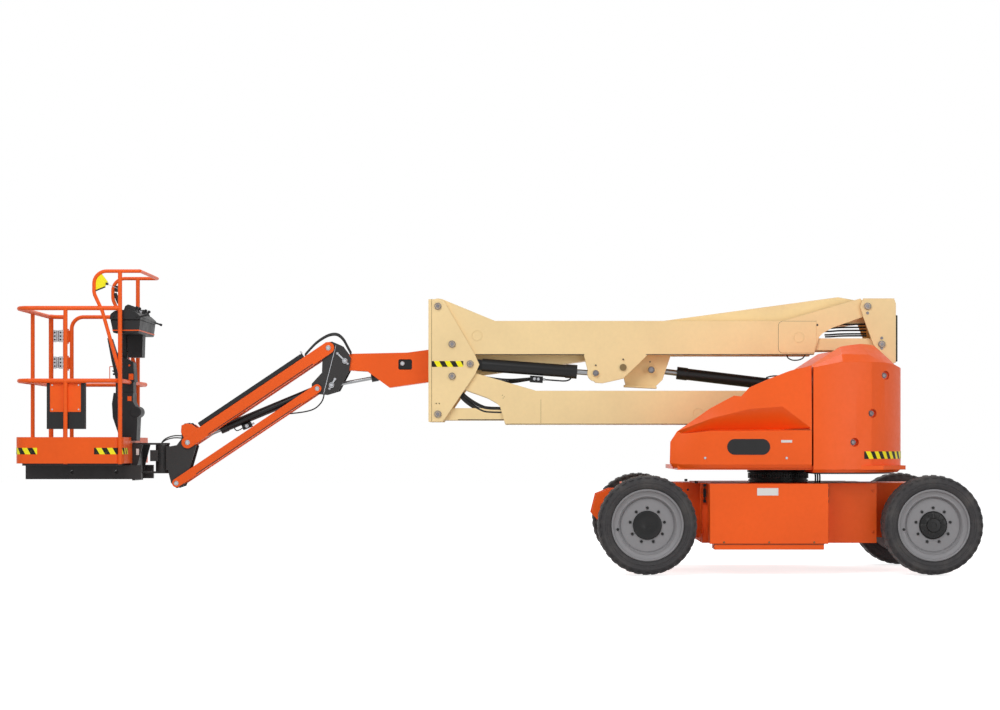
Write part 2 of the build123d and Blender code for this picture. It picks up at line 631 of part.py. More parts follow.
def mid_boom():
    shape = both(beam(P1, 1))
    lug = outline([off(TOWER_CYL_EYE, dx, dz) for dx, dz in (
        (-85, 155), (-85, 133), (-45, -24), (0, -70), (54, -73), (203, -40), (379, 130), (379, 155))])
    lug += disc(TOWER_CYL_EYE, 60)
    plates = slab(lug, -BEAM_OUT, -BEAM_OUT + 9) + slab(lug, -BEAM_IN - 9, -BEAM_IN)
    plates += pin(TOWER_CYL_EYE, PIN_HEAD_R, -BEAM_OUT - 8, -BEAM_OUT)
    return shape + plates


# ------------------------------------------------------------------- main boom
def main_boom():
    low = BOOM_ABOVE - BOOM_HEIGHT
    section = outline([boom_point(u, v) for u, v in (
        (0, low), (BOOM_LENGTH, low), (BOOM_LENGTH, BOOM_ABOVE), (283, BOOM_ABOVE), (139, 115), (0, 70))])
    section += disc(BOOM_PIN, BOOM_REAR_R)
    cavity = outline([boom_point(u, v) for u, v in (
        (330, low + BOOM_WALL), (BOOM_LENGTH + 10, low + BOOM_WALL),
        (BOOM_LENGTH + 10, BOOM_ABOVE - BOOM_WALL), (330, BOOM_ABOVE - BOOM_WALL))])
    shape = slab(section, -MAIN_HALF, MAIN_HALF)
    shape -= slab(cavity, -MAIN_HALF + BOOM_WALL, MAIN_HALF - BOOM_WALL)
    shape = eye_bore(shape, BOOM_PIN, 30, -MAIN_HALF - 5, MAIN_HALF + 5)
    skin = low + BOOM_WALL / 2
    lug = outline([off(MAIN_CYL_EYE, -242, 103), off(MAIN_CYL_EYE, -189, -115), off(MAIN_CYL_EYE, 26, -127),
                   off(MAIN_CYL_EYE, 81, -75), off(MAIN_CYL_EYE, 140, 99),
                   boom_point(MAIN_EYE_U - 171, skin), boom_point(MAIN_EYE_U + 219, skin)])
    shape += both(slab(lug, 26, 38))
    shape += both(pin(MAIN_CYL_EYE, PIN_HEAD_R, 38, 46))
    flange = outline([off(MAIN_CYL_EYE, dx, dz) for dx, dz in ((-202, -127), (38, -139), (38, -124), (-202, -112))])
    return shape + both(slab(flange, 26, 60))


def fly_boom():
    low = BOOM_ABOVE - BOOM_HEIGHT + BOOM_WALL
    high = BOOM_ABOVE - BOOM_WALL
    tube = outline([boom_point(u, v) for u, v in (
        (FLY_TAIL, low + FLY_GAP), (BOOM_LENGTH + 60, low + FLY_GAP), (BOOM_LENGTH + 60, high - FLY_GAP),
        (FLY_TAIL, high - FLY_GAP))])
    shape = slab(tube, -MAIN_HALF + BOOM_WALL + FLY_GAP, MAIN_HALF - BOOM_WALL - FLY_GAP)
    for u in (FLY_TAIL, BOOM_LENGTH - 220):
        pad = outline([boom_point(a, v) for a, v in (
            (u, low + SEAT_GAP), (u + 150, low + SEAT_GAP), (u + 150, high - SEAT_GAP), (u, high - SEAT_GAP))])
        shape += slab(pad, -MAIN_HALF + BOOM_WALL + SEAT_GAP, MAIN_HALF - BOOM_WALL - SEAT_GAP)
    nose = outline([off(TIP_PIN, dx, dz) for dx, dz in (
        (35, 52), (458, 61), (614, 82), (652, 87), (652, -149), (614, -156), (328, -197), (164, -77), (24, -69))])
    nose += strap(TIP_PIN, off(TIP_PIN, 77, -4), 42)
    head = slab(nose, -FLY_HALF, FLY_HALF)
    hollow = outline([off(TIP_PIN, dx, dz) for dx, dz in (
        (87, -89), (87, 36), (457, 46), (577, 61), (577, -139), (328, -187), (328, -239), (87, -239))])
    head -= slab(hollow, -FLY_HALF + 12, FLY_HALF - 12)
    head -= slab(Pos(*off(TIP_PIN, 444, -27)) * RectangleRounded(100, 76, 12), -FLY_HALF - 5, FLY_HALF + 5)
    shape += head
    shape += pin(LEVEL_BASE, LEVEL_BASE_PIN_R, -FLY_HALF + 5, FLY_HALF - 5)
    return eye_bore(shape, TIP_PIN, JIB_PIN_R, -FLY_HALF - 5, FLY_HALF + 5)


# about the tip pin
JIB_BRACKET = [
    (-92, 141), (-22, 111), (45, 21), (32, -75), (-45, -221), (-139, -249), (-243, -239), (-243, -169), (-168, -87),
    (-162, 61), (-143, 136)]


def jib_bracket():
    plate = slab(outline([off(TIP_PIN, dx, dz) for dx, dz in JIB_BRACKET]), JIB_PLATE_IN, JIB_PLATE_OUT)
    shape = both(plate)
    for at in (TIP_PIN, JIB_TOP_PIN, JIB_LOW_PIN):
        shape += pin(at, JIB_PIN_R, -JIB_PLATE_OUT - 8, JIB_PLATE_OUT + 8)
    return shape + both(pin(LEVEL_PIN, JIB_PIN_R, LEVEL_EYE_HALF + 4, JIB_PLATE_OUT + 8))


def jib_top_link():
    link = slab(strap(JIB_TOP_PIN, JIB_TOP_END, JIB_TOP_HALF_H), -JIB_HALF, JIB_HALF)
    run = math.hypot(JIB_DX, JIB_DZ)
    angle = math.degrees(math.atan2(-JIB_DZ, -JIB_DX))
    mid = ((JIB_TOP_PIN[0] + JIB_TOP_END[0]) / 2, (JIB_TOP_PIN[1] + JIB_TOP_END[1]) / 2)
    channel = Pos(*mid) * Rot(0, 0, angle) * (Pos(0, -22) * Rectangle(run + 200, 114))
    slot = Pos(*mid) * Rot(0, 0, angle) * (Pos(-0.6 * run, 0) * Rectangle(1.4 * run, 200))
    link -= slab(channel + slot, -JIB_HALF + 12, JIB_HALF - 12)
    for at in (JIB_TOP_PIN, JIB_TOP_END):
        link = eye_bore(link, at, JIB_PIN_R, -JIB_HALF - 5, JIB_HALF + 5)
    return link


def jib_low_link():
    bar = slab(strap(JIB_LOW_PIN, JIB_LOW_END, JIB_LOW_HALF_H), JIB_HALF - 15, JIB_HALF)
    for at in (JIB_LOW_PIN, JIB_LOW_END):
        bar = eye_bore(bar, at, JIB_PIN_R, JIB_HALF - 20, JIB_HALF + 5)
    shape = both(bar)
    tie = along(JIB_LOW_PIN, JIB_LOW_END, 900)
    shape += pin(tie, 16, -JIB_HALF + 10, JIB_HALF - 10)
    return shape


# about the jib's upper end pin
JIB_END = [
    (-148, -32), (-82, -20), (-46, 27), (-46, 110), (-24, 139), (16, 145), (44, 118), (52, 60), (42, 22), (61, -29),
    (13, -196), (-33, -321), (-82, -338), (-123, -298), (-148, -198)]


def jib_end():
    plate = outline([off(JIB_TOP_END, dx, dz) for dx, dz in JIB_END])
    shape = both(slab(plate, JIB_PLATE_IN, JIB_PLATE_OUT))
    shape += both(pin(JIB_TOP_END, JIB_PIN_R, JIB_EYE_HALF + MOVE_GAP, JIB_PLATE_OUT + 8))
    shape += pin(JIB_LOW_END, JIB_PIN_R, -JIB_PLATE_OUT - 8, JIB_PLATE_OUT + 8)
    shape += block(ROTATOR_X + 38, ROTATOR_X + 60, -JIB_PLATE_OUT, JIB_PLATE_OUT, ROTATOR_BOTTOM + 10,
                   ROTATOR_TOP - 10)
    actuator = Pos(ROTATOR_X, 0, (ROTATOR_BOTTOM + ROTATOR_TOP) / 2) * Cylinder(
        ROTATOR_R, ROTATOR_TOP - ROTATOR_BOTTOM)
    motor = block(ROTATOR_X - 76, ROTATOR_X - 18, -98, -35, ROTATOR_BOTTOM + 75, ROTATOR_BOTTOM + 157)
    return shape + actuator + motor


# -------------------------------------------------------------------- platform
def platform_base():
    back = BASKET_BACK_X
    plate_low, plate_high = ROTATOR_BOTTOM - 65, ROTATOR_TOP + 15
    shape = block(back + SEAT_GAP, back + 22, -170, 170, plate_low, plate_high)
    gusset = outline([(back + 21, plate_low + 40), (back + 77, plate_high - 15), (back + 21, plate_high)])
    shape += both(slab(gusset, 158, 170))
    for z0, z1 in ((ROTATOR_TOP + SEAT_GAP, ROTATOR_TOP + 15), (ROTATOR_BOTTOM - 15, ROTATOR_BOTTOM - SEAT_GAP)):
        shape += block(back + 20, ROTATOR_X, -48, 48, z0, z1)
        shape += Pos(ROTATOR_X, 0, (z0 + z1) / 2) * Cylinder(ROTATOR_R + 4, z1 - z0)
    beam_low, beam_high = FLOOR_Z - 120, FLOOR_Z - 19
    beam = block(BASKET_FRONT_X + 15, back + 85, 240, 280, beam_low, beam_high)
    for inward in (415, 93):
        beam -= pin((back - inward, FLOOR_Z - 65), 13, 230, 290)
    shape += both(beam)
    for x in (BASKET_FRONT_X + 15, back - 385, back - 45):
        shape += block(x, x + 40, -280, 280, beam_low + 30, beam_high)
    shape += block(back - 10, back + 2, -280, 280, beam_low, beam_high)
    floor = RectangleRounded(BASKET_LENGTH - 80, 2 * (BASKET_HALF - 40), TOE_CORNER_R - 40)
    return shape + Pos((BASKET_FRONT_X + back) / 2, 0, FLOOR_Z - 10) * extrude(floor, 10, both=True)


def rail(points, r, bend):
    """Round tube bent through the points."""
    path = FilletPolyline(*points, radius=bend)
    start = Plane(origin=path @ 0, z_dir=path % 0)
    return sweep(start * Circle(r), path=path)


def platform_rails():
    r = TUBE_R
    post_r = TUBE_R - 1
    x0 = BASKET_FRONT_X + r
    x1 = BASKET_BACK_X - r
    y = BASKET_HALF - r
    gate_x0 = x0 + GATE_POST_IN
    gate_x1 = x1 - GATE_POST_IN
    z = MID_RAIL_Z
    shape = rail([(gate_x1, y, z), (x1, y, z), (x1, -y, z), (x0, -y, z), (x0, y, z), (gate_x0, y, z)], r, BEND_R)
    z = TOP_RAIL_Z - r
    shape += rail([(x1, -y, z), (x0, -y, z), (x0, y, z), (gate_x0, y, z)], r, BEND_R)
    shape += rail([(gate_x1, y, z), (x1, y, z), (x1, CONSOLE_FAR_Y + r, z)], r, BEND_R)
    foot = FLOOR_Z - 8
    guard_top = GUARD_TOP_Z - GUARD_R
    for x, post_y, head in (
            (x1 - 390, -y, z), (x1, -y, guard_top), (x0, -50, z), (x1, CONSOLE_FAR_Y + r, guard_top),
            (gate_x0, y, z), (gate_x1, y, z)):
        shape += rod((x, post_y, foot), (x, post_y, head), post_r)
    middle = Pos((BASKET_FRONT_X + BASKET_BACK_X) / 2, 0, (FLOOR_Z - 4 + TOE_TOP) / 2)
    inside = RectangleRounded(BASKET_LENGTH - 2 * TOE_T, 2 * (BASKET_HALF - TOE_T), TOE_CORNER_R - TOE_T)
    ring = RectangleRounded(BASKET_LENGTH, 2 * BASKET_HALF, TOE_CORNER_R) - inside
    toe = middle * extrude(ring, (TOE_H + 4) / 2, both=True)
    toe -= block(gate_x0 + 12, gate_x1 - 12, BASKET_HALF - 60, BASKET_HALF + 10, FLOOR_Z + 10, TOE_TOP + 100)
    shape += toe
    guard_x = BASKET_BACK_X - 202
    for loop_y in (-y, CONSOLE_FAR_Y + r):
        shape += rail([(x1, loop_y, MID_RAIL_Z + 52), (guard_x + 60, loop_y, TOP_RAIL_Z - 40),
                       (guard_x, loop_y, TOP_RAIL_Z + 90), (guard_x, loop_y, guard_top),
                       (GUARD_BAR_X, loop_y, guard_top)], GUARD_R, GUARD_BEND)
    shape += rod((GUARD_BAR_X, -y - 6, guard_top), (GUARD_BAR_X, CONSOLE_FAR_Y + r + 6, guard_top), GUARD_R - 1)
    for z0 in GATE_HINGES:
        shape += block(gate_x0, gate_x0 + HINGE_DX, y - 4, y + 4, z0 - 12, z0 - 2)
        shape += block(gate_x0, gate_x0 + HINGE_DX, y - 4, y + 4, z0 + HINGE_H + 2, z0 + HINGE_H + 12)
        shape += rod((gate_x0 + HINGE_DX, y, z0 - 12), (gate_x0 + HINGE_DX, y, z0 + HINGE_H + 12), HINGE_PIN_R)
    return shape


def gate():
    r = TUBE_R
    y = BASKET_HALF - r
    hinge_x = BASKET_FRONT_X + r + GATE_POST_IN + HINGE_DX
    x0 = hinge_x + GATE_BAR_DX
    x1 = BASKET_BACK_X - r - GATE_POST_IN - 2 * r - MOVE_GAP
    top = TOP_RAIL_Z - r
    shape = rail([(x1, y, FLOOR_Z + 60), (x1, y, top), (x0, y, top), (x0, y, FLOOR_Z + 60)], r - 1, BEND_R)
    shape += rod((x0, y, MID_RAIL_Z), (x1, y, MID_RAIL_Z), r - 2)
    shape += block(x0, x1, y - 6, y + 6, FLOOR_Z + 20, TOE_TOP)
    for z0 in GATE_HINGES:
        shape += block(hinge_x, x0, y - 3, y + 3, z0, z0 + HINGE_H)
        shape += Pos(hinge_x, y, z0 + HINGE_H / 2) * Cylinder(HINGE_BARREL_R, HINGE_H)
        shape -= Pos(hinge_x, y, z0 + HINGE_H / 2) * Cylinder(HINGE_PIN_R + PIN_FIT, HINGE_H + 10)
    return shape


def console():
    back = BASKET_BACK_X - 2 * TUBE_R - SEAT_GAP
    near = -BASKET_HALF + 2 * TUBE_R + 10
    top = TOP_RAIL_Z
    box = outline([
        (back - 118, top - 90), (back - 108, top - 203), (back + 222, top - 203), (back + 226, top - 90),
        (back + 132, top + 10), (back - 3, top + 17), (back - 88, top - 23)])
    shape = slab(box, near, CONSOLE_FAR_Y - 4)
    shape -= slab(outline([(back - 125, top - 170), (back - 103, top - 175), (back - 103, top - 95),
                           (back - 125, top - 90)]), near + 40, CONSOLE_FAR_Y - 44)
    shape += block(back - 60, back + 90, -300, 60, top - 268, top - 200)
    shape += block(back - 22, back, -300, 60, FLOOR_Z + 190, top - 195)
    shape += block(back - 50, back, -240, 0, FLOOR_Z + 380, FLOOR_Z + 690)
    return shape


def manual_box():
    """Box for papers, hung inside the near middle rail."""
    face = -BASKET_HALF + 2 * TUBE_R
    x = BASKET_FRONT_X + 226
    shape = block(x, x + 272, face + 1, face + 56, MID_RAIL_Z - 345, MID_RAIL_Z - 13)
    shape -= block(x + 8, x + 264, face + 9, face + 48, MID_RAIL_Z - 300, MID_RAIL_Z)
    for dx in (40, 202):
        shape += block(x + dx, x + dx + 30, face + SEAT_GAP, face + 4, MID_RAIL_Z - 30, MID_RAIL_Z + 10)
    return shape


# ----------------------------------------------------------------------- build
def cylinder_nodes():
    near = -BEAM_MID
    run = math.hypot(TOWER_CYL_EYE[0] - TOWER_CYL_BASE[0], TOWER_CYL_EYE[1] - TOWER_CYL_BASE[1])
    body = barrel(TOWER_CYL_BASE, TOWER_CYL_EYE, TOWER_CYL, near, 24, 86, run - 135)
    save("tower_cylinder_barrel", eye_bore(body, TOWER_CYL_BASE, PIN_R, near - 60, near + 60))
    save("tower_cylinder_rod", piston(TOWER_CYL_BASE, TOWER_CYL_EYE, TOWER_CYL, near, 18, 150, 38))
    run = math.hypot(MAIN_CYL_EYE[0] - MAIN_CYL_BASE[0], MAIN_CYL_EYE[1] - MAIN_CYL_BASE[1])
    body = barrel(MAIN_CYL_BASE, MAIN_CYL_EYE, MAIN_CYL, 0, 24, 70, run - 190)
    save("main_cylinder_barrel", eye_bore(body, MAIN_CYL_BASE, PIN_R, -60, 60))
    save("main_cylinder_rod", piston(MAIN_CYL_BASE, MAIN_CYL_EYE, MAIN_CYL, 0, 22, 300, 36))
    run = math.hypot(LEVEL_PIN[0] - LEVEL_BASE[0], LEVEL_PIN[1] - LEVEL_BASE[1])
    body = barrel(LEVEL_BASE, LEVEL_PIN, LEVEL_CYL, 0, 18, 12, 320, 14)
    save("level_cylinder_barrel", eye_bore(body, LEVEL_BASE, LEVEL_BASE_PIN_R, -60, 60))
    save("level_cylinder_rod", piston(LEVEL_BASE, LEVEL_PIN, LEVEL_CYL, 0, LEVEL_EYE_HALF, 303, 25))
    run = math.hypot(JIB_TOP_END[0] - JIB_LOW_PIN[0], JIB_TOP_END[1] - JIB_LOW_PIN[1])
    body = barrel(JIB_LOW_PIN, JIB_TOP_END, JIB_CYL, 0, 24, 50, 781)
    save("jib_cylinder_barrel", eye_bore(body, JIB_LOW_PIN, JIB_PIN_R, -60, 60))
    save("jib_cylinder_rod", piston(JIB_LOW_PIN, JIB_TOP_END, JIB_CYL, 0, JIB_EYE_HALF, 205, 32))


def build():
    save("chassis", chassis())
    save("front_axle", front_axle())
    save("rear_axle", rear_axle())
    box = battery_box()
    save("battery_box_far", box)
    save("battery_box_near", far(box))
    knuckle_far = knuckle()
    save("knuckle_far", knuckle_far)
    save("knuckle_near", far(knuckle_far))
    for end, x in (("front", FRONT_X), ("rear", REAR_X)):
        for name, side in (("far", 1), ("near", -1)):
            save(f"tyre_{end}_{name}", tyre(x, side))
            save(f"rim_{end}_{name}", rim(x, side))
    save("slew_ring", slew_ring())
    save("turntable_base", turntable_base())
    save("equipment", equipment())
    cover = hood()
    save("hood_far", cover)
    save("hood_near", far(cover))
    save("counterweight", both(counterweight()))
    save("weight_bridge", weight_bridge())
    save("lower_boom", lower_boom())
    save("lower_links", link_pair(P5, P5T))
    save("upright_front", upright_front())
    save("mid_boom", mid_boom())
    save("mid_links", link_pair(P2, B))
    save("upright_rear", upright_rear())
    save("main_boom", main_boom())
    save("fly_boom", fly_boom())
    save("jib_bracket", jib_bracket())
    save("jib_top_link", jib_top_link())
    save("jib_low_link", jib_low_link())
    save("jib_end", jib_end())
    save("platform_base", platform_base())
    save("platform_rails", platform_rails())
    save("gate", gate())
    save("console", console())
    save("manual_box", manual_box())
    cylinder_nodes()


build()
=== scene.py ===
"""Electric articulating boom lift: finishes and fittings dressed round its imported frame."""
import json
import math

import bmesh
import bpy
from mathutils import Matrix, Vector


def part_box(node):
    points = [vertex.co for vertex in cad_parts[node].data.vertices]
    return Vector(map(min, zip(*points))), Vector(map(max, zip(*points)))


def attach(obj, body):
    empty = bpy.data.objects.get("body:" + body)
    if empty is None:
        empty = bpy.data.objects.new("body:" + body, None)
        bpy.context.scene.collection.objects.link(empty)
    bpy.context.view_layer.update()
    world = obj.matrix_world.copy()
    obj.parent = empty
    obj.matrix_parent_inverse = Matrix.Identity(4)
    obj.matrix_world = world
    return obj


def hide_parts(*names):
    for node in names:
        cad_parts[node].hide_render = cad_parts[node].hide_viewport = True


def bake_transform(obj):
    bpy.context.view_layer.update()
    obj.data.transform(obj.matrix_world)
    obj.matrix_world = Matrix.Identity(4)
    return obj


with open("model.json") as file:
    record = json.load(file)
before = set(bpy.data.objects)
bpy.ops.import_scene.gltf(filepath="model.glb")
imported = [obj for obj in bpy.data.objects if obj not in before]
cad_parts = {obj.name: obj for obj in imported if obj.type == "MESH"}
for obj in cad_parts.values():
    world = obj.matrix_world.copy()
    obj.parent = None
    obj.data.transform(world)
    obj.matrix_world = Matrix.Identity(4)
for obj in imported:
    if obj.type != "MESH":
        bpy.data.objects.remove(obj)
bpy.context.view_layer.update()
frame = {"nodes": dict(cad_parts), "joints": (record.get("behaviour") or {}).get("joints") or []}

bl_info = {
    "name": "Articulating Boom Lift",
    "version": (1, 0, 0),
    "blender": (4, 5, 0),
    "location": "3D View > Sidebar > Boom Lift",
    "description": "Dresses the boom lift's frame with finishes, fittings, hoses and a studio",
    "category": "Object",
}

JOINTS = {joint["name"]: joint for joint in frame["joints"]}
NEAR, FAR = -1, 1       # sides of the machine, along Y
SIDES = (("near", NEAR), ("far", FAR))


# ---------------------------------------------------------------------- places
def pivot(joint):
    """Where a joint's axis stands."""
    return Vector(JOINTS[joint]["pos_m"])


def low(node):
    """Lowest corner of a frame node."""
    return Vector(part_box(node)[0])


def high(node):
    """Highest corner of a frame node."""
    return Vector(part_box(node)[1])


SLEW = pivot("slew")
STRIPE_LIFT = 0.0015    # thickness of the warning stripes


def spot(x, y, z):
    """Point from distances ahead of the slewing axis (x, towards the counterweight), across and up."""
    return Vector((SLEW.x + x, y, z))


def from_slew(points, shift=0.0):
    """Outline whose first number is the distance ahead of the slewing axis."""
    return [(SLEW.x + x + shift, z) for x, z in points]


def square_down(run):
    """Direction square to a line in the boom's own plane that points down."""
    down = Vector((run.z, 0.0, -run.x))
    return down if down.z < 0 else -down


def moved_to(point, y):
    """A point moved straight across the machine."""
    return Vector((point.x, y, point.z))


def round_step(number, count, start=0.0):
    """Direction of one of a count of spokes in the wheel's plane."""
    angle = 2 * math.pi * number / count + start
    return Vector((math.cos(angle), 0.0, math.sin(angle)))


def add_object(name, data):
    """New object in the scene that shows a mesh or curve."""
    thing = bpy.data.objects.new(name, data)
    bpy.context.collection.objects.link(thing)
    return thing


def mesh_object(name, form):
    """New object from a bmesh, which is used up."""
    data = bpy.data.meshes.new(name)
    form.to_mesh(data)
    form.free()
    return add_object(name, data)


def frozen(thing):
    """Mesh of an object as it shows, with its modifiers and its curve's section worked out."""
    bpy.context.view_layer.update()
    graph = bpy.context.evaluated_depsgraph_get()
    return bpy.data.meshes.new_from_object(thing.evaluated_get(graph))


# ----------------------------------------------------------------------- forms
class Form:
    """Gathers the faces of one piece."""

    def __init__(self):
        self.mesh = bmesh.new()

    def faces(self, points, rings):
        """Add points and faces that name them by number."""
        made = [self.mesh.verts.new(point) for point in points]
        for ring in rings:
            self.mesh.faces.new([made[index] for index in ring])
        return self

    def box(self, corner_a, corner_b):
        """Box between two corners."""
        a = [min(p, q) for p, q in zip(corner_a, corner_b)]
        b = [max(p, q) for p, q in zip(corner_a, corner_b)]
        points = [(x, y, z) for x in (a[0], b[0]) for y in (a[1], b[1]) for z in (a[2], b[2])]
        return self.faces(points, [(0, 1, 3, 2), (4, 6, 7, 5), (0, 4, 5, 1),
                                   (2, 3, 7, 6), (0, 2, 6, 4), (1, 5, 7, 3)])

    def slab(self, corners):
        """Closed block from two rings of four corners, one after the other."""
        return self.faces(corners, [(0, 1, 2, 3), (7, 6, 5, 4), (0, 4, 5, 1),
                                    (1, 5, 6, 2), (2, 6, 7, 3), (3, 7, 4, 0)])

    def leaning_box(self, at, run, rise, u, v, y):
        """Box on two directions; u, v and y give its start and end along run, rise and the Y axis."""
        corners = []
        for depth in y:
            for a, b in ((u[0], v[0]), (u[1], v[0]), (u[1], v[1]), (u[0], v[1])):
                corners.append(at + run * a + rise * b + Vector((0.0, depth, 0.0)))
        return self.slab(corners)

    def prism(self, outline, start, end, axes="XZ"):
        """Flat outline in two axes, given depth along the third from start to end."""
        third = ({"X", "Y", "Z"} - set(axes)).pop()
        points = []
        for depth in (start, end):
            for u, v in outline:
                place = {axes[0]: u, axes[1]: v, third: depth}
                points.append((place["X"], place["Y"], place["Z"]))
        count = len(outline)
        rings = [tuple(range(count)), tuple(range(2 * count - 1, count - 1, -1))]
        for index in range(count):
            after = (index + 1) % count
            rings.append((index, index + count, after + count, after))
        return self.faces(points, rings)

    def turned(self, profile, origin, axis, steps=48):
        """Profile of (radius, distance along the axis) spun round an axis; a radius of 0 closes it."""
        axis = Vector(axis).normalized()
        side = axis.orthogonal().normalized()
        other = axis.cross(side)
        rows = []
        for radius, distance in profile:
            middle = Vector(origin) + axis * distance
            if radius <= 0:
                rows.append([self.mesh.verts.new(middle)])
                continue
            row = []
            for step in range(steps):
                angle = 2 * math.pi * step / steps
                offset = side * math.cos(angle) + other * math.sin(angle)
                row.append(self.mesh.verts.new(middle + offset * radius))
            rows.append(row)
        for row, after in zip(rows, rows[1:]):
            for step in range(steps):
                turn = (step + 1) % steps
                if len(row) == 1 and len(after) == 1:
                    continue
                if len(row) == 1:
                    self.mesh.faces.new((row[0], after[turn], after[step]))
                elif len(after) == 1:
                    self.mesh.faces.new((row[step], row[turn], after[0]))
                else:
                    self.mesh.faces.new((row[step], row[turn], after[turn], after[step]))
        return self

    def round_bar(self, start, end, radius, steps=20):
        """Closed round bar between two points."""
        start, end = Vector(start), Vector(end)
        length = (end - start).length
        rim = min(radius * 0.12, length * 0.2)
        profile = [(0, 0), (radius - rim, 0), (radius, rim),
                   (radius, length - rim), (radius - rim, length), (0, length)]
        return self.turned(profile, start, end - start, steps)

    def dot(self, at, axis, radius, height, steps=16):
        """Flat round head or plug."""
        return self.turned([(radius, 0.0), (radius, height), (0.0, height)], at, axis, steps)

    def bolt(self, at, axis, radius):
        """Hexagon bolt head on a washer; radius is across the head's corners, halved."""
        axis = Vector(axis).normalized()
        thick = radius * 0.25
        self.turned([(0, 0), (radius * 1.35, 0), (radius * 1.35, thick), (radius, thick)], at, axis, 20)
        head = [(radius, thick), (radius, radius * 0.8), (radius * 0.85, radius * 0.95), (0, radius * 0.95)]
        return self.turned(head, at, axis, 6)

    def pin_head(self, at, axis, radius, height):
        """Turned head of a pivot pin with a chamfer and a centre mark."""
        rim = radius * 0.15
        profile = [(radius, 0), (radius, height - rim), (radius - rim, height), (radius * 0.70, height),
                   (radius * 0.66, height - rim), (radius * 0.60, height - rim),
                   (radius * 0.56, height), (0, height)]
        return self.turned(profile, at, axis, 32)

    def piece(self, name, body, look, soften=0.0, stands_for=(), crease=35.0, slot=None):
        """Make the piece, ride it on its body and give it its finish, which names its slot too."""
        bmesh.ops.recalc_face_normals(self.mesh, faces=self.mesh.faces)
        for edge in self.mesh.edges:
            if len(edge.link_faces) == 2:
                edge.smooth = edge.calc_face_angle() < math.radians(crease)
        for face in self.mesh.faces:
            face.smooth = True
        thing = mesh_object(name, self.mesh)
        thing.data.materials.append(finish(look))
        if soften:
            round_off(thing, soften)
        return settle(thing, body, stands_for)


def round_off(thing, width, segments=2, angle=32.0, harden=False):
    """Round the sharp edges of a piece."""
    bevel = thing.modifiers.new("rounded edges", "BEVEL")
    bevel.width = width
    bevel.segments = segments
    bevel.limit_method = "ANGLE"
    bevel.angle_limit = math.radians(angle)
    bevel.harden_normals = harden


def smooth(thing):
    """Shade every face of a piece smooth."""
    for polygon in thing.data.polygons:
        polygon.use_smooth = True


def settle(thing, body, stands_for=()):
    """Ride a piece on its body and hide the nodes that it stands for."""
    if stands_for:
        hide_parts(*stands_for)
    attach(thing, body)
    return thing


def spline_curve(name, points, resolution):
    """Smooth curve through control points."""
    curve = bpy.data.curves.new(name, "CURVE")
    curve.dimensions = "3D"
    curve.resolution_u = resolution
    spline = curve.splines.new("NURBS")
    spline.points.add(len(points) - 1)
    for place, point in zip(spline.points, points):
        place.co = (point[0], point[1], point[2], 1.0)
    spline.order_u = 3
    spline.use_endpoint_u = True
    return curve


def thicken(curve, radius):
    """Give a curve a round section with closed ends."""
    curve.bevel_depth = radius
    curve.bevel_resolution = 4
    curve.use_fill_caps = True


def tube(name, points, radius, body, look):
    """Round hose or pipe on a smooth line through its control points."""
    curve = spline_curve(name, points, 10)
    thicken(curve, radius)
    curve.materials.append(finish(look))
    return settle(add_object(name, curve), body)


def rounded(points, radius, steps=6):
    """Plan path with its corners turned into arcs."""
    path = [Vector(points[0])]
    for before, corner, after in zip(points, points[1:], points[2:]):
        corner = Vector(corner)
        back = (Vector(before) - corner).normalized()
        ahead = (Vector(after) - corner).normalized()
        half = back.angle(ahead) / 2
        reach = radius / math.tan(half)
        centre = corner + (back + ahead).normalized() * radius / math.sin(half)
        first, last = corner + back * reach - centre, corner + ahead * reach - centre
        turn = first.angle(last)
        for step in range(steps + 1):
            share = step / steps
            blend = first * math.sin((1 - share) * turn) + last * math.sin(share * turn)
            path.append(centre + blend / math.sin(turn))
    path.append(Vector(points[-1]))
    return path


def band(form, path, z0, z1, lift, outward):
    """Thin strip standing on a plan path, lifted off what it lies on, with its run in the UV map."""
    uv = form.mesh.loops.layers.uv.verify()
    count = len(path)
    rows = []
    place_on = {}
    run = 0.0
    for index, place in enumerate(path):
        if index:
            run += (place - path[index - 1]).length
        way = (path[min(index + 1, count - 1)] - path[max(index - 1, 0)]).normalized()
        out = Vector((way.y, -way.x)) * outward
        row = []
        for distance in (0.0, lift):
            for z in (z0, z1):
                corner = place + out * distance
                vertex = form.mesh.verts.new((corner.x, corner.y, z))
                place_on[vertex] = (run, z - z0)
                row.append(vertex)
        rows.append(row)
    rings = [[rows[0][k] for k in (0, 2, 3, 1)], [rows[-1][k] for k in (0, 1, 3, 2)]]
    for a, b in zip(rows, rows[1:]):
        rings += [(a[2], b[2], b[3], a[3]), (a[0], a[1], b[1], b[0]),
                  (a[1], a[3], b[3], b[1]), (a[0], b[0], b[2], a[2])]
    for ring in rings:
        face = form.mesh.faces.new(ring)
        for loop in face.loops:
            loop[uv].uv = place_on[loop.vert]


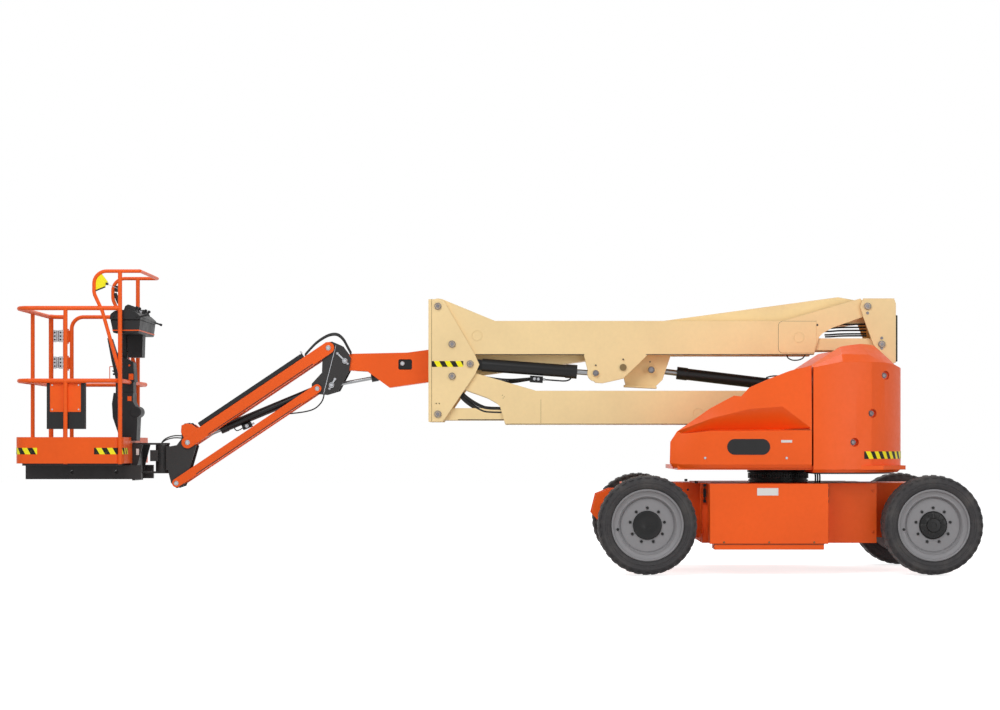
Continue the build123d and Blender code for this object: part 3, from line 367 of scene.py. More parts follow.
# -------------------------------------------------------------------- finishes
class Finish:
    """Builds one material node by node, from the piece's own coordinates."""

    def __init__(self, name):
        self.material = bpy.data.materials.new(name)
        self.material.use_nodes = True
        self.tree = self.material.node_tree
        self.shader = self.tree.nodes["Principled BSDF"]
        self.place = self.node("ShaderNodeTexCoord").outputs["Object"]

    def node(self, kind, inputs=None, **settings):
        """New node; inputs maps a socket to a value or to another node's socket."""
        made = self.tree.nodes.new(kind)
        for key, value in settings.items():
            setattr(made, key, value)
        for key, value in (inputs or {}).items():
            if isinstance(value, bpy.types.NodeSocket):
                self.tree.links.new(value, made.inputs[key])
            else:
                made.inputs[key].default_value = value
        return made

    def sum(self, operation, a, b=0.0):
        """One step of arithmetic."""
        return self.node("ShaderNodeMath", {0: a, 1: b}, operation=operation).outputs[0]

    def noise(self, scale, detail=3.0, stretch=None, distortion=0.0):
        """Cloudy pattern from 0 to 1."""
        place = self.place
        if stretch:
            place = self.node("ShaderNodeMapping", {"Vector": place, "Scale": stretch}).outputs[0]
        made = self.node("ShaderNodeTexNoise", {
            "Vector": place, "Scale": scale, "Detail": detail, "Distortion": distortion})
        return made.outputs["Fac"]

    def spread(self, value, start, end, low_value=0.0, high_value=1.0):
        """Stretch the part of a value between start and end."""
        made = self.node("ShaderNodeMapRange", {
            "Value": value, "From Min": start, "From Max": end, "To Min": low_value, "To Max": high_value})
        return made.outputs[0]

    def blend(self, amount, a, b):
        """Colour between a and b."""
        made = self.node("ShaderNodeMix", data_type="RGBA")
        for socket, value in ((made.inputs[0], amount), (made.inputs[6], a), (made.inputs[7], b)):
            if isinstance(value, bpy.types.NodeSocket):
                self.tree.links.new(value, socket)
            else:
                socket.default_value = value if socket == made.inputs[0] else tuple(value)[:3] + (1.0,)
        return made.outputs[2]

    def edges(self, radius):
        """1 along outer edges and 0 on flats, and the softened normal."""
        soft = self.node("ShaderNodeBevel", {"Radius": radius}, samples=4).outputs[0]
        flat = self.node("ShaderNodeNewGeometry").outputs["Normal"]
        dot = self.node("ShaderNodeVectorMath", {0: soft, 1: flat},
                        operation="DOT_PRODUCT").outputs["Value"]
        return self.spread(dot, 0.985, 0.85), soft

    def upward(self):
        """1 on faces that look up."""
        normal = self.node("ShaderNodeNewGeometry").outputs["Normal"]
        return self.node("ShaderNodeSeparateXYZ", {0: normal}).outputs["Z"]

    def bump(self, height, strength, distance, normal=None):
        """Surface relief."""
        inputs = {"Height": height, "Strength": strength, "Distance": distance}
        if normal is not None:
            inputs["Normal"] = normal
        return self.node("ShaderNodeBump", inputs).outputs[0]

    def set(self, **sockets):
        """Set or link the shader's sockets; _ stands for a space."""
        for key, value in sockets.items():
            socket = self.shader.inputs[key.replace("_", " ")]
            if isinstance(value, bpy.types.NodeSocket):
                self.tree.links.new(value, socket)
            elif isinstance(value, (int, float)):
                socket.default_value = value
            else:
                socket.default_value = tuple(value)[:3] + (1.0,)
        return self.material


def shade(colour, factor):
    """Lighter or darker copy of a colour."""
    return [min(1.0, channel * factor) for channel in colour]


def paint_finish(name, colour, roughness, wear, dust, under, gloss=0.0):
    """Sprayed paint: faint clouding, orange peel, dust on ledges and worn edges."""
    f = Finish(name)
    cloud = f.spread(f.noise(1.6, 3.0), 0.35, 0.65)
    grime = f.noise(34.0, 5.0)
    tint = f.blend(cloud, shade(colour, 0.93), shade(colour, 1.03))
    tint = f.blend(f.spread(grime, 0.35, 0.8, 0.0, 0.10), tint, shade(colour, 0.62))
    edge, soft = f.edges(0.004)
    chips = f.spread(f.noise(150.0, 3.0), 0.46, 0.60)
    worn = f.sum("MULTIPLY", f.sum("MULTIPLY", edge, chips), wear)
    tint = f.blend(worn, tint, under)
    ledge = f.sum("MULTIPLY", f.spread(f.upward(), 0.6, 1.0),
                  f.spread(f.noise(9.0, 4.0), 0.3, 0.8, 0.3, 1.0))
    tint = f.blend(f.sum("MULTIPLY", ledge, dust), tint, (0.42, 0.38, 0.33))
    rough = f.spread(grime, 0.3, 0.75, roughness - 0.05, roughness + 0.12)
    relief = f.bump(f.noise(520.0, 1.0), 0.06, 0.0006, soft)
    return f.set(Base_Color=tint, Roughness=rough, Normal=relief, Coat_Weight=gloss, Coat_Roughness=0.2,
                 Specular_IOR_Level=0.22)


def metal_finish(name, colour, roughness, grain=(1.0, 1.0, 1.0), stain=0.25):
    """Bare or plated metal with fine grain and dull patches."""
    f = Finish(name)
    lines = f.noise(260.0, 2.0, stretch=grain)
    patch = f.noise(22.0, 4.0)
    tint = f.blend(f.spread(patch, 0.4, 0.75, 0.0, stain), colour, shade(colour, 0.45))
    rough = f.spread(patch, 0.3, 0.8, roughness - 0.06, roughness + 0.16)
    relief = f.bump(lines, 0.10, 0.0004)
    return f.set(Base_Color=tint, Roughness=rough, Normal=relief, Metallic=1.0)


def rubber_finish(name, colour, roughness=0.72, dust=0.25):
    """Rubber: mottled, matt, with pale dust in the grain."""
    f = Finish(name)
    mottle = f.noise(60.0, 5.0)
    patch = f.noise(7.0, 3.0)
    tint = f.blend(f.spread(mottle, 0.3, 0.7), shade(colour, 0.8), shade(colour, 1.18))
    tint = f.blend(f.spread(patch, 0.45, 0.8, 0.0, dust), tint, (0.22, 0.20, 0.18))
    relief = f.bump(f.noise(420.0, 3.0), 0.22, 0.0009)
    rough = f.spread(mottle, 0.3, 0.7, roughness - 0.08, roughness + 0.1)
    return f.set(Base_Color=tint, Roughness=rough, Normal=relief, Specular_IOR_Level=0.25)


def plastic_finish(name, colour, roughness=0.5):
    """Moulded plastic with a fine leather-like grain."""
    f = Finish(name)
    cell = f.node("ShaderNodeTexVoronoi", {"Vector": f.place, "Scale": 420.0}).outputs["Distance"]
    patch = f.noise(12.0, 4.0)
    tint = f.blend(f.spread(patch, 0.35, 0.75), shade(colour, 0.85), shade(colour, 1.2))
    rough = f.spread(patch, 0.3, 0.75, roughness - 0.08, roughness + 0.1)
    return f.set(Base_Color=tint, Roughness=rough,
                 Normal=f.bump(cell, 0.18, 0.0006), Specular_IOR_Level=0.25)


def stripe_finish(name, pale, dark, pitch, lean):
    """Slanting warning stripes, two colours in turn, along the strip's own run."""
    f = Finish(name)
    parts = f.node("ShaderNodeSeparateXYZ", {0: f.node("ShaderNodeTexCoord").outputs["UV"]})
    run = f.sum("SUBTRACT", parts.outputs["X"], f.sum("MULTIPLY", parts.outputs["Y"], -lean))
    turn = f.sum("FRACT", f.sum("DIVIDE", run, pitch))
    stripe = f.sum("LESS_THAN", turn, 0.5)
    scuff = f.spread(f.noise(90.0, 5.0), 0.55, 0.85, 0.0, 0.3)
    tint = f.blend(stripe, pale, dark)
    tint = f.blend(scuff, tint, shade(pale, 0.5))
    rough = f.spread(f.noise(40.0, 4.0), 0.3, 0.7, 0.36, 0.52)
    return f.set(Base_Color=tint, Roughness=rough, Normal=f.bump(f.noise(500.0, 1.0), 0.05, 0.0004),
                 Specular_IOR_Level=0.2)


class Palette:
    """Every finish of the machine, made once from the paint settings."""

    made = {}

    @classmethod
    def build(cls, paint):
        """Mix every finish from the paint settings."""
        primer = (0.16, 0.15, 0.14)
        cls.made = {
            "orange": paint_finish("orange paint", paint.orange, 0.42, 0.35, 0.08, primer, 0.06),
            "cover": paint_finish("orange cover gloss", paint.orange, 0.36,
                                  0.15, 0.02, shade(paint.orange, 0.6), 0.08),
            "cream": paint_finish("cream paint", paint.cream, 0.45, 0.30, 0.06, primer, 0.04),
            "dark": paint_finish("dark grey paint", paint.dark, 0.45, 0.45, 0.16, (0.20, 0.19, 0.18)),
            "black": paint_finish("black enamel", paint.black, 0.34, 0.30, 0.06, (0.20, 0.19, 0.18), 0.05),
            "rim": paint_finish("rim grey paint", paint.rim, 0.42, 0.40, 0.08, (0.10, 0.10, 0.10)),
            "tyre": rubber_finish("tyre rubber", paint.tyre),
            "hose": rubber_finish("hose rubber", paint.hose, 0.45, 0.08),
            "plastic": plastic_finish("black plastic", paint.plastic),
            "zinc": metal_finish("zinc plate", paint.zinc, 0.34),
            "chrome": metal_finish("hard chrome", (0.24, 0.245, 0.25), 0.30, (0.03, 1.0, 1.0), 0.1),
            "hazard": stripe_finish("warning stripes", paint.yellow,
                                    (0.006, 0.006, 0.006), paint.stripe_pitch, 0.55),
            "pin": metal_finish("pin steel", paint.pin, 0.42, stain=0.5),
            "brown": paint_finish("bronze bush", (0.24, 0.17, 0.075), 0.5, 0.1, 0.1, primer),
            "yellow": paint_finish("yellow paint", paint.yellow, 0.38, 0.3, 0.1, primer),
            "plate": paint_finish("white plate", (0.78, 0.78, 0.76), 0.34, 0.1, 0.05, (0.3, 0.3, 0.3)),
        }


def finish(name):
    """A finish from the palette."""
    return Palette.made[name]


# -------------------------------------------------------------------- settings
def colour(label, text, value):
    """Paint colour setting."""
    return bpy.props.FloatVectorProperty(
        name=label, description=text, subtype="COLOR", size=3, min=0.0, max=1.0, default=value)


def length(label, text, value):
    """Length setting, in metres."""
    return bpy.props.FloatProperty(name=label, description=text, default=value,
                                   min=0.0, unit="LENGTH", precision=4)


def power(label, text, value):
    """Lamp power setting, in watts."""
    return bpy.props.FloatProperty(name=label, description=text, default=value, unit="POWER")


class BoomLiftPaint(bpy.types.PropertyGroup):
    """Colours of the machine."""
    orange: colour("Orange", "Chassis, covers, fly boom, jib and platform", (0.93, 0.118, 0.010))
    cream: colour("Cream", "Tower booms, links and main boom", (0.95, 0.72, 0.38))
    dark: colour("Dark grey", "Brackets, axles and platform support", (0.036, 0.034, 0.034))
    black: colour("Black", "Cylinder barrels and slewing ring", (0.007, 0.007, 0.0075))
    rim: colour("Rim grey", "Wheel rims", (0.27, 0.265, 0.275))
    tyre: colour("Tyre", "Tyre rubber", (0.048, 0.046, 0.048))
    hose: colour("Hose", "Hydraulic hose rubber", (0.007, 0.007, 0.007))
    plastic: colour("Plastic", "Console and guards", (0.013, 0.013, 0.014))
    zinc: colour("Zinc", "Bolts and hinges", (0.42, 0.43, 0.45))
    pin: colour("Pin steel", "Heads of the pivot pins", (0.20, 0.19, 0.20))
    yellow: colour("Yellow", "Warning stripes and guard plate", (0.98, 0.88, 0.02))
    stripe_pitch: length("Stripe pitch", "Width of one yellow and one black stripe along the edge", 0.078)


class BoomLiftSizes(bpy.types.PropertyGroup):
    """Sizes of the fittings."""
    small_bolt: length("Small bolt", "Half the width of a small bolt's head", 0.008)
    wheel_bolt: length("Wheel bolt", "Half the width of a wheel bolt's head", 0.0085)
    wheel_bolt_circle: length("Wheel bolt circle", "Radius of the circle of wheel bolts", 0.122)
    hub_radius: length("Hub radius", "Radius of the black cap in the wheel's middle", 0.102)
    disc_radius: length("Disc radius", "Radius of the flat wheel disc", 0.189)
    tread_depth: length("Tread depth", "Depth of the tread blocks", 0.007)
    pin_head: length("Pin head", "Radius of the tower pins' heads", 0.026)
    hose_radius: length("Hose radius", "Radius of the thick hydraulic hoses", 0.011)
    thin_hose: length("Thin hose", "Radius of the thin hoses and cables", 0.006)
    stripe_height: length("Stripe height", "Height of the warning stripes", 0.046)
    edge_softness: length("Edge softness", "Rounding of small fittings' edges", 0.0018)


class BoomLiftStudio(bpy.types.PropertyGroup):
    """Camera, lamps and floor."""
    distance: length("Distance", "Camera to the machine's middle plane", 16.9)
    eye_height: length("Eye height", "Camera above the ground", 0.897)
    ahead: length("Ahead", "Camera from the slewing axis towards the platform", 1.76)
    lens: bpy.props.FloatProperty(name="Lens", description="Focal length in mm", default=82.3, min=10.0)
    key: power("Key lamp", "Power of the main lamp", 470.0)
    fill: power("Fill lamp", "Power of the fill lamp", 150.0)
    top: power("Top lamp", "Power of the top lamp", 270.0)
    ambient: bpy.props.FloatProperty(name="Ambient", description="Strength of the room's light",
                                     default=0.42)
    floor: colour("Floor", "Colour of the studio floor", (0.86, 0.86, 0.86))


# ---------------------------------------------------------------------- studio
FLOOR_REACH = 40.0      # half the width of the floor


def studio_rays(tree):
    """1 for rays that should see the white room."""
    rays = tree.nodes.new("ShaderNodeLightPath")
    first = tree.nodes.new("ShaderNodeMath")
    first.operation = "MAXIMUM"
    second = tree.nodes.new("ShaderNodeMath")
    second.operation = "MAXIMUM"
    tree.links.new(rays.outputs["Is Camera Ray"], first.inputs[0])
    tree.links.new(rays.outputs["Is Glossy Ray"], first.inputs[1])
    tree.links.new(first.outputs[0], second.inputs[0])
    tree.links.new(rays.outputs["Is Transmission Ray"], second.inputs[1])
    return second.outputs[0]


def add_lamp(name, place, size, power):
    """Square soft lamp that looks at the machine's middle."""
    data = bpy.data.lights.new(name, "AREA")
    data.shape = "SQUARE"
    data.size = size
    data.energy = power
    lamp = add_object(name, data)
    lamp.location = place
    aim = Vector((0.0, 0.0, 1.1)) - Vector(place)
    lamp.rotation_euler = aim.to_track_quat("-Z", "Y").to_euler()


class BOOMLIFT_OT_studio(bpy.types.Operator):
    """Set up the camera, lamps, white room and floor"""
    bl_idname = "boomlift.studio"
    bl_label = "Studio"

    def execute(self, context):
        studio = context.scene.boomlift_studio
        context.scene.view_settings.view_transform = "Standard"
        data = bpy.data.cameras.new("camera")
        data.lens = studio.lens
        data.sensor_width = 36.0
        data.shift_x = -0.04
        data.shift_y = 0.093
        data.clip_end = 200.0
        camera = add_object("camera", data)
        camera.location = spot(-studio.ahead, -studio.distance, studio.eye_height)
        camera.rotation_euler = (math.pi / 2, 0.0, 0.0)
        context.scene.camera = camera
        add_lamp("key", (-3.0, -8.0, 7.5), 6.0, studio.key)
        add_lamp("fill", (6.0, -7.0, 2.5), 5.0, studio.fill)
        add_lamp("top", (0.0, 3.0, 9.0), 7.0, studio.top)
        world = bpy.data.worlds.new("studio")
        context.scene.world = world
        world.use_nodes = True
        tree = world.node_tree
        tree.nodes.clear()
        room = tree.nodes.new("ShaderNodeBackground")
        room.inputs["Color"].default_value = (0.96, 0.98, 1.0, 1.0)
        room.inputs["Strength"].default_value = studio.ambient
        white = tree.nodes.new("ShaderNodeBackground")
        white.inputs["Color"].default_value = (1.0, 1.0, 1.0, 1.0)
        mix = tree.nodes.new("ShaderNodeMixShader")
        out = tree.nodes.new("ShaderNodeOutputWorld")
        tree.links.new(studio_rays(tree), mix.inputs[0])
        tree.links.new(room.outputs[0], mix.inputs[1])
        tree.links.new(white.outputs[0], mix.inputs[2])
        tree.links.new(mix.outputs[0], out.inputs["Surface"])
        self.lay_floor(studio.floor)
        return {"FINISHED"}

    def lay_floor(self, tint):
        """Pale floor that stays white to the eye but keeps the machine's shadow."""
        form = bmesh.new()
        corners = ((-1, -1), (1, -1), (1, 1), (-1, 1))
        form.faces.new([form.verts.new((x * FLOOR_REACH, y * FLOOR_REACH, -0.002)) for x, y in corners])
        floor = mesh_object("floor", form)
        surface = bpy.data.materials.new("studio floor")
        surface.use_nodes = True
        tree = surface.node_tree
        tree.nodes.clear()
        matt = tree.nodes.new("ShaderNodeBsdfDiffuse")
        matt.inputs["Color"].default_value = tuple(tint) + (1.0,)
        dull = tree.nodes.new("ShaderNodeBsdfDiffuse")
        dull.inputs["Color"].default_value = (0.62, 0.60, 0.58, 1.0)
        glow = tree.nodes.new("ShaderNodeEmission")
        glow.inputs["Strength"].default_value = 0.80
        both = tree.nodes.new("ShaderNodeAddShader")
        mix = tree.nodes.new("ShaderNodeMixShader")
        out = tree.nodes.new("ShaderNodeOutputMaterial")
        tree.links.new(matt.outputs[0], both.inputs[0])
        tree.links.new(glow.outputs[0], both.inputs[1])
        tree.links.new(studio_rays(tree), mix.inputs[0])
        tree.links.new(dull.outputs[0], mix.inputs[1])
        tree.links.new(both.outputs[0], mix.inputs[2])
        tree.links.new(mix.outputs[0], out.inputs["Surface"])
        floor.data.materials.append(surface)


# ------------------------------------------------------------ frame's finishes
NODE_FINISH = {
    "orange": ("chassis", "battery_box_far", "battery_box_near",
               "counterweight", "weight_bridge", "fly_boom", "jib_top_link",
               "jib_low_link", "platform_rails", "gate"),
    "cover": ("hood_far", "hood_near", "turntable_base"),
    "cream": ("lower_boom", "lower_links", "upright_front",
              "mid_boom", "mid_links", "upright_rear", "main_boom"),
    "dark": ("front_axle", "rear_axle", "knuckle_far", "knuckle_near", "equipment", "jib_bracket",
             "jib_end", "platform_base"),
    "black": ("slew_ring", "tower_cylinder_barrel", "main_cylinder_barrel", "level_cylinder_barrel",
              "jib_cylinder_barrel"),
    "chrome": ("tower_cylinder_rod", "main_cylinder_rod", "level_cylinder_rod", "jib_cylinder_rod"),
    "plastic": ("console", "manual_box"),
    "rim": ("rim_front_far", "rim_front_near", "rim_rear_far", "rim_rear_near"),
    "tyre": ("tyre_front_far", "tyre_front_near", "tyre_rear_far", "tyre_rear_near"),
}


class BOOMLIFT_OT_finishes(bpy.types.Operator):
    """Mix the finishes and paint the frame's own nodes"""
    bl_idname = "boomlift.finishes"
    bl_label = "Finishes"

    def execute(self, context):
        Palette.build(context.scene.boomlift_paint)
        for name, nodes in NODE_FINISH.items():
            for node in nodes:
                data = frame["nodes"][node].data
                data.materials.clear()
                data.materials.append(finish(name))
        return {"FINISHED"}


# ---------------------------------------------------------------------- wheels
BEAD = 0.252            # radius where the tyre sits on its rim
DISC_INSET = 0.060      # wheel disc behind the tyre's outer wall
WHEEL_BOLTS = 9
TREAD_BLOCKS = 36       # round each shoulder


def tread_blocks(form, hub, depth, radius, half):
    """Staggered blocks round both shoulders of a tyre."""
    half_block = 0.60 * math.pi / TREAD_BLOCKS
    for row in (NEAR, FAR):
        for number in range(TREAD_BLOCKS):
            middle = 2 * math.pi * (number + (0.5 if row == FAR else 0.0)) / TREAD_BLOCKS
            points = []
            for across, reach in ((0.99, 0.0), (0.99, 1.0), (0.20, 1.0), (0.20, 0.0)):
                for end in (-1, 1):
                    skew = 0.06 * (1.0 - across) * row
                    angle = middle + end * half_block * (1.0 - 0.25 * reach) + skew
                    edge = 0.022 if (across > 0.9 and reach > 0.5) else 0.0
                    r = radius - (1.0 - reach) * (depth + 0.012) - edge * 0.35
                    y = row * (half * across - edge * 0.4)
                    points.append(hub + Vector((r * math.cos(angle), y, r * math.sin(angle))))
            form.faces(points, [(0, 1, 3, 2), (2, 3, 5, 4), (4, 5, 7, 6),
                                (0, 2, 4, 6), (1, 7, 5, 3), (0, 6, 7, 1)])


class BOOMLIFT_OT_wheels(bpy.types.Operator):
    """Tyres with tread, pressed rims, bolts and hubs"""
    bl_idname = "boomlift.wheels"
    bl_label = "Wheels"

    def execute(self, context):
        sizes = context.scene.boomlift_sizes
        for end in ("front", "rear"):
            for name, side in SIDES:
                self.wheel(sizes, end, f"{end}_{name}", Vector((0.0, side, 0.0)))
        return {"FINISHED"}

    def wheel(self, sizes, end, place, out):
        """One wheel; distances along the axle run outwards from the tyre's middle."""
        hub = pivot(f"wheel_{place}_roll")
        half = (high(f"tyre_{place}").y - low(f"tyre_{place}").y) / 2
        face = half - DISC_INSET
        self.tyre(sizes, place, hub, half)
        self.rim(sizes, place, hub, out, half)
        self.bolts(sizes, place, hub, out, face)
        self.hub(sizes.hub_radius, end, place, hub, out, face)
        self.valve(sizes.disc_radius, place, hub, out, half)

    def tyre(self, sizes, place, hub, half):
        """Tyre with its beads and tread blocks."""
        tyre = f"tyre_{place}"
        radius = (high(tyre).z - low(tyre).z) / 2
        base = radius - sizes.tread_depth
        profile = [
            (BEAD - 0.006, -half + 0.034), (BEAD + 0.004, -half + 0.018), (BEAD + 0.022, -half + 0.008),
            (BEAD + 0.030, -half + 0.004), (BEAD + 0.033, -half + 0.007), (BEAD + 0.044, -half + 0.006),
            (BEAD + 0.047, -half + 0.002), (BEAD + 0.062, -half + 0.001), (BEAD + 0.065, -half + 0.004),
            (base - 0.012, -half + 0.010), (base - 0.002, -half + 0.022),
            (base, -half * 0.5), (base + 0.002, 0.0)]
        profile += [(r, -y) for r, y in reversed(profile[:-1])]
        form = Form().turned(profile, hub, (0, 1, 0), 96)
        tread_blocks(form, hub, sizes.tread_depth, radius - 0.0005, half - 0.001)
        form.piece(tyre + "_tread", f"wheel_{place}", "tyre", 0.0, (tyre,))

    def rim(self, sizes, place, hub, out, half):
        """Pressed rim from one flange to the other, with its flat disc."""
        disc, cap, face = sizes.disc_radius, sizes.hub_radius, half - DISC_INSET
        section = [
            (disc - 0.004, -half + 0.020), (BEAD - 0.006, -half + 0.010), (BEAD + 0.001, -half + 0.014),
            (BEAD + 0.001, -half + 0.022), (BEAD - 0.007, -half + 0.028),
            (BEAD - 0.008, -0.03), (disc + 0.016, 0.0),
            (disc + 0.018, 0.02), (BEAD - 0.010, 0.045),
            (BEAD - 0.008, half - 0.030), (BEAD + 0.001, half - 0.024),
            (BEAD + 0.002, half - 0.014), (BEAD - 0.004, half - 0.009), (BEAD - 0.012, half - 0.013),
            (BEAD - 0.016, half - 0.026), (BEAD - 0.028, half - 0.034), (disc + 0.022, half - 0.037),
            (disc + 0.014, half - 0.034), (disc + 0.008, half - 0.044), (disc + 0.001, face - 0.004),
            (disc - 0.004, face), (cap + 0.020, face + 0.002),
            (cap - 0.004, face + 0.003), (cap - 0.004, 0.0),
            (disc - 0.010, 0.0), (disc - 0.004, -0.02)]
        section.append(section[0])
        form = Form().turned(section, hub, out, 96)
        form.piece(f"rim_{place}_pressed", f"wheel_{place}", "rim", 0.0, (f"rim_{place}",), 24.0)

    def bolts(self, sizes, place, hub, out, face):
        """Ring of bolts, each in its pressed cup."""
        bolts, cups = Form(), Form()
        cup = sizes.wheel_bolt * 1.5
        for number in range(WHEEL_BOLTS):
            at = hub + round_step(number, WHEEL_BOLTS, math.pi / 2) * sizes.wheel_bolt_circle
            bolts.bolt(at + out * (face + 0.0015), out, sizes.wheel_bolt)
            cups.turned([(cup, face - 0.002), (cup, face + 0.005),
                         (cup - 0.0025, face + 0.005), (cup - 0.003, face - 0.002)],
                        at, out, 20)
        bolts.piece(f"wheel_bolts_{place}", f"wheel_{place}", "black")
        cups.piece(f"wheel_cups_{place}", f"wheel_{place}", "rim")

    def hub(self, cap, end, place, hub, out, face):
        """Plain cap in front, ribbed drive cap at the rear."""
        hubs = Form()
        if end == "front":
            hubs.turned([(cap, 0.0), (cap, face + 0.010),
                         (cap - 0.003, face + 0.014), (cap - 0.010, face + 0.016),
                         (0.030, face + 0.017), (0.026, face + 0.015), (0.0, face + 0.015)], hub, out, 64)
        else:
            hubs.turned([(cap - 0.004, 0.0), (cap - 0.004, face + 0.012), (cap - 0.012, face + 0.020),
                         (cap - 0.030, face + 0.024), (0.052, face + 0.034), (0.046, face + 0.044),
                         (0.020, face + 0.046), (0.018, face + 0.042), (0.0, face + 0.042)], hub, out, 64)
            for number in range(12):
                spoke = round_step(number, 12)
                hubs.round_bar(hub + spoke * 0.050 + out * (face + 0.030),
                               hub + spoke * (cap - 0.012) + out * (face + 0.017),
                               0.005, 10)
        hubs.piece(f"hub_{place}", f"wheel_{place}", "black", 0.0, (), 30.0)

    def valve(self, disc, place, hub, out, half):
        """Tyre valve at the rim's edge."""
        valve = hub + Vector((-math.cos(0.14), 0.0, -math.sin(0.14))) * (disc + 0.021)
        stem = Form().round_bar(valve + out * (half - 0.040), valve + out * (half - 0.016), 0.0045, 12)
        stem.turned([(0.0105, half - 0.041), (0.0105, half - 0.035),
                     (0.008, half - 0.034), (0.0045, half - 0.034)],
                    valve, out, 16)
        stem.piece(f"valve_{place}", f"wheel_{place}", "plastic", slot="tyre_rubber")


# ------------------------------------------------------------ chassis fittings
RING_TEETH = 72
LIP = 0.041             # battery door's seam above its bottom


class BOOMLIFT_OT_chassis(bpy.types.Operator):
    """Latches, screws and blank plates of the chassis, with the slewing ring's teeth and cables"""
    bl_idname = "boomlift.chassis"
    bl_label = "Chassis fittings"

    def execute(self, context):
        sizes = context.scene.boomlift_sizes
        for name, side in SIDES:
            start, end = low(f"battery_box_{name}"), high(f"battery_box_{name}")
            lip = start.z + LIP
            self.battery_door(name, side, start, end, lip)
            self.door_latches(sizes.edge_softness, name, side, start, end)
            if side == NEAR:
                self.blank_plate(start, end)
            self.frame_edge(name, side, start, end, lip)
        self.slewing_ring(sizes)
        self.frame_bolts(sizes)
        return {"FINISHED"}

    def battery_door(self, name, side, start, end, lip):
        """Door over the batteries with the seam and screws of its lower edge."""
        face = side * max(abs(start.y), abs(end.y))
        case = Form().box((start.x, side * 0.56, lip), (end.x, face, end.z))
        case.box((start.x + 0.032, side * 0.575, start.z),
                 (end.x - 0.030, face - side * 0.006, lip + 0.001))
        case.piece(f"battery_box_{name}_case", "chassis", "orange", 0.004, (f"battery_box_{name}",))
        seam = Form().box((start.x + 0.030, face - side * 0.005, lip - 0.003),
                          (end.x - 0.028, face + side * 0.0005, lip))
        seam.piece(f"battery_seam_{name}", "chassis", "dark")
        screws = Form()
        for share in (0.12, 0.5, 0.88):
            screws.bolt((start.x + (end.x - start.x) * share, face, lip + 0.012), (0, side, 0), 0.005)
        screws.piece(f"door_screws_{name}", "chassis", "brown", slot="dark_paint")

    def door_latches(self, softness, name, side, start, end):
        """Latch with its keepers at each end of a door."""
        latches = Form()
        for x in (start.x - 0.020, end.x + 0.020):
            inner = side * high("chassis").y
            for drop, tall in ((0.004, 0.020), (0.040, 0.058), (0.118, 0.020)):
                top = end.z - drop
                latches.box((x - 0.010, inner, top - tall), (x + 0.010, inner + side * 0.022, top))
            latches.round_bar((x, inner + side * 0.020, end.z - 0.030),
                              (x, inner + side * 0.020, end.z - 0.132), 0.005, 12)
        latches.piece(f"door_latches_{name}", "chassis", "plastic", softness)

    def blank_plate(self, start, end):
        """White plate with nothing on it, on the near door."""
        middle = (start.x + end.x) / 2
        plate = Form().box((middle - 0.085, start.y, end.z - 0.083),
                           (middle + 0.065, start.y + NEAR * 0.0012, end.z - 0.030))
        plate.piece("blank_plate", "chassis", "plate")

    def frame_edge(self, name, side, start, end, lip):
        """Flanges and hinge barrels beside a door, with a knob and a plug ahead of it."""
        flange = Form()
        rail = side * high("chassis").y
        flange.box((start.x - 0.054, rail - side * 0.004, end.z - 0.006),
                   (start.x, rail + side * 0.014, end.z + 0.002))
        flange.box((end.x, rail - side * 0.004, end.z - 0.006),
                   (end.x + 0.300, rail + side * 0.014, end.z + 0.002))
        flange.box((start.x - 0.052, rail, lip + 0.004),
                   (start.x - 0.046, rail + side * 0.030, end.z - 0.010))
        hinge_y = rail + side * 0.010
        for z in (end.z - 0.090, lip + 0.080):
            for x, foot in ((start.x - 0.036, z - 0.016), (end.x + 0.014, z - 0.024)):
                flange.round_bar((x, hinge_y, foot), (x, hinge_y, foot + 0.032), 0.009, 14)
        flange.piece(f"frame_flange_{name}", "chassis", "orange", 0.001)
        knobs = Form()
        knob = Vector((start.x - 0.080, rail + side * 0.020, end.z - 0.002))
        knobs.round_bar(knob, knob + Vector((0.0, 0.0, 0.018)), 0.012, 16)
        plug = Vector((start.x - 0.140, rail, end.z - 0.046))
        knobs.round_bar(plug, plug + Vector((0.0, side * 0.012, 0.0)), 0.008, 16)
        knobs.piece(f"frame_knobs_{name}", "chassis", "plastic")

    def slewing_ring(self, sizes):
        """Upright teeth round the ring and a bundle of cables behind it."""
        radius = (high("slew_ring").x - low("slew_ring").x) / 2
        bottom, top = low("slew_ring").z, high("slew_ring").z
        teeth = Form()
        for number in range(RING_TEETH):
            angle = 2 * math.pi * number / RING_TEETH
            out = Vector((math.cos(angle), math.sin(angle), 0.0))
            side = Vector((-out.y, out.x, 0.0))
            points = []
            for z in (bottom + 0.030, top - 0.028):
                for reach, wide in ((radius - 0.010, 0.0062), (radius + 0.003, 0.0036)):
                    for turn in (-1, 1):
                        points.append(Vector((SLEW.x, SLEW.y, z)) + out * reach + side * wide * turn)
            teeth.faces(points, [(0, 1, 3, 2), (4, 6, 7, 5), (0, 2, 6, 4),
                                 (1, 5, 7, 3), (2, 3, 7, 6), (0, 4, 5, 1)])
        teeth.turned([(radius - 0.012, -0.014), (radius + 0.006, -0.014),
                      (radius + 0.008, -0.011), (radius + 0.008, 0.006),
                      (radius - 0.012, 0.008)], (SLEW.x, SLEW.y, top - 0.010), (0, 0, 1), 72)
        teeth.piece("slewing_teeth", "chassis", "black")
        for number, x in enumerate((0.250, 0.266, 0.282)):
            start = spot(x, -0.150, top - 0.010)
            end = spot(x + 0.006, -0.150, bottom - 0.004)
            knee = spot(x + 0.012, -0.158, (top + bottom) / 2)
            tube(f"ring_cable_{number}", [start, knee, end],
                 sizes.thin_hose, "chassis", "hose")

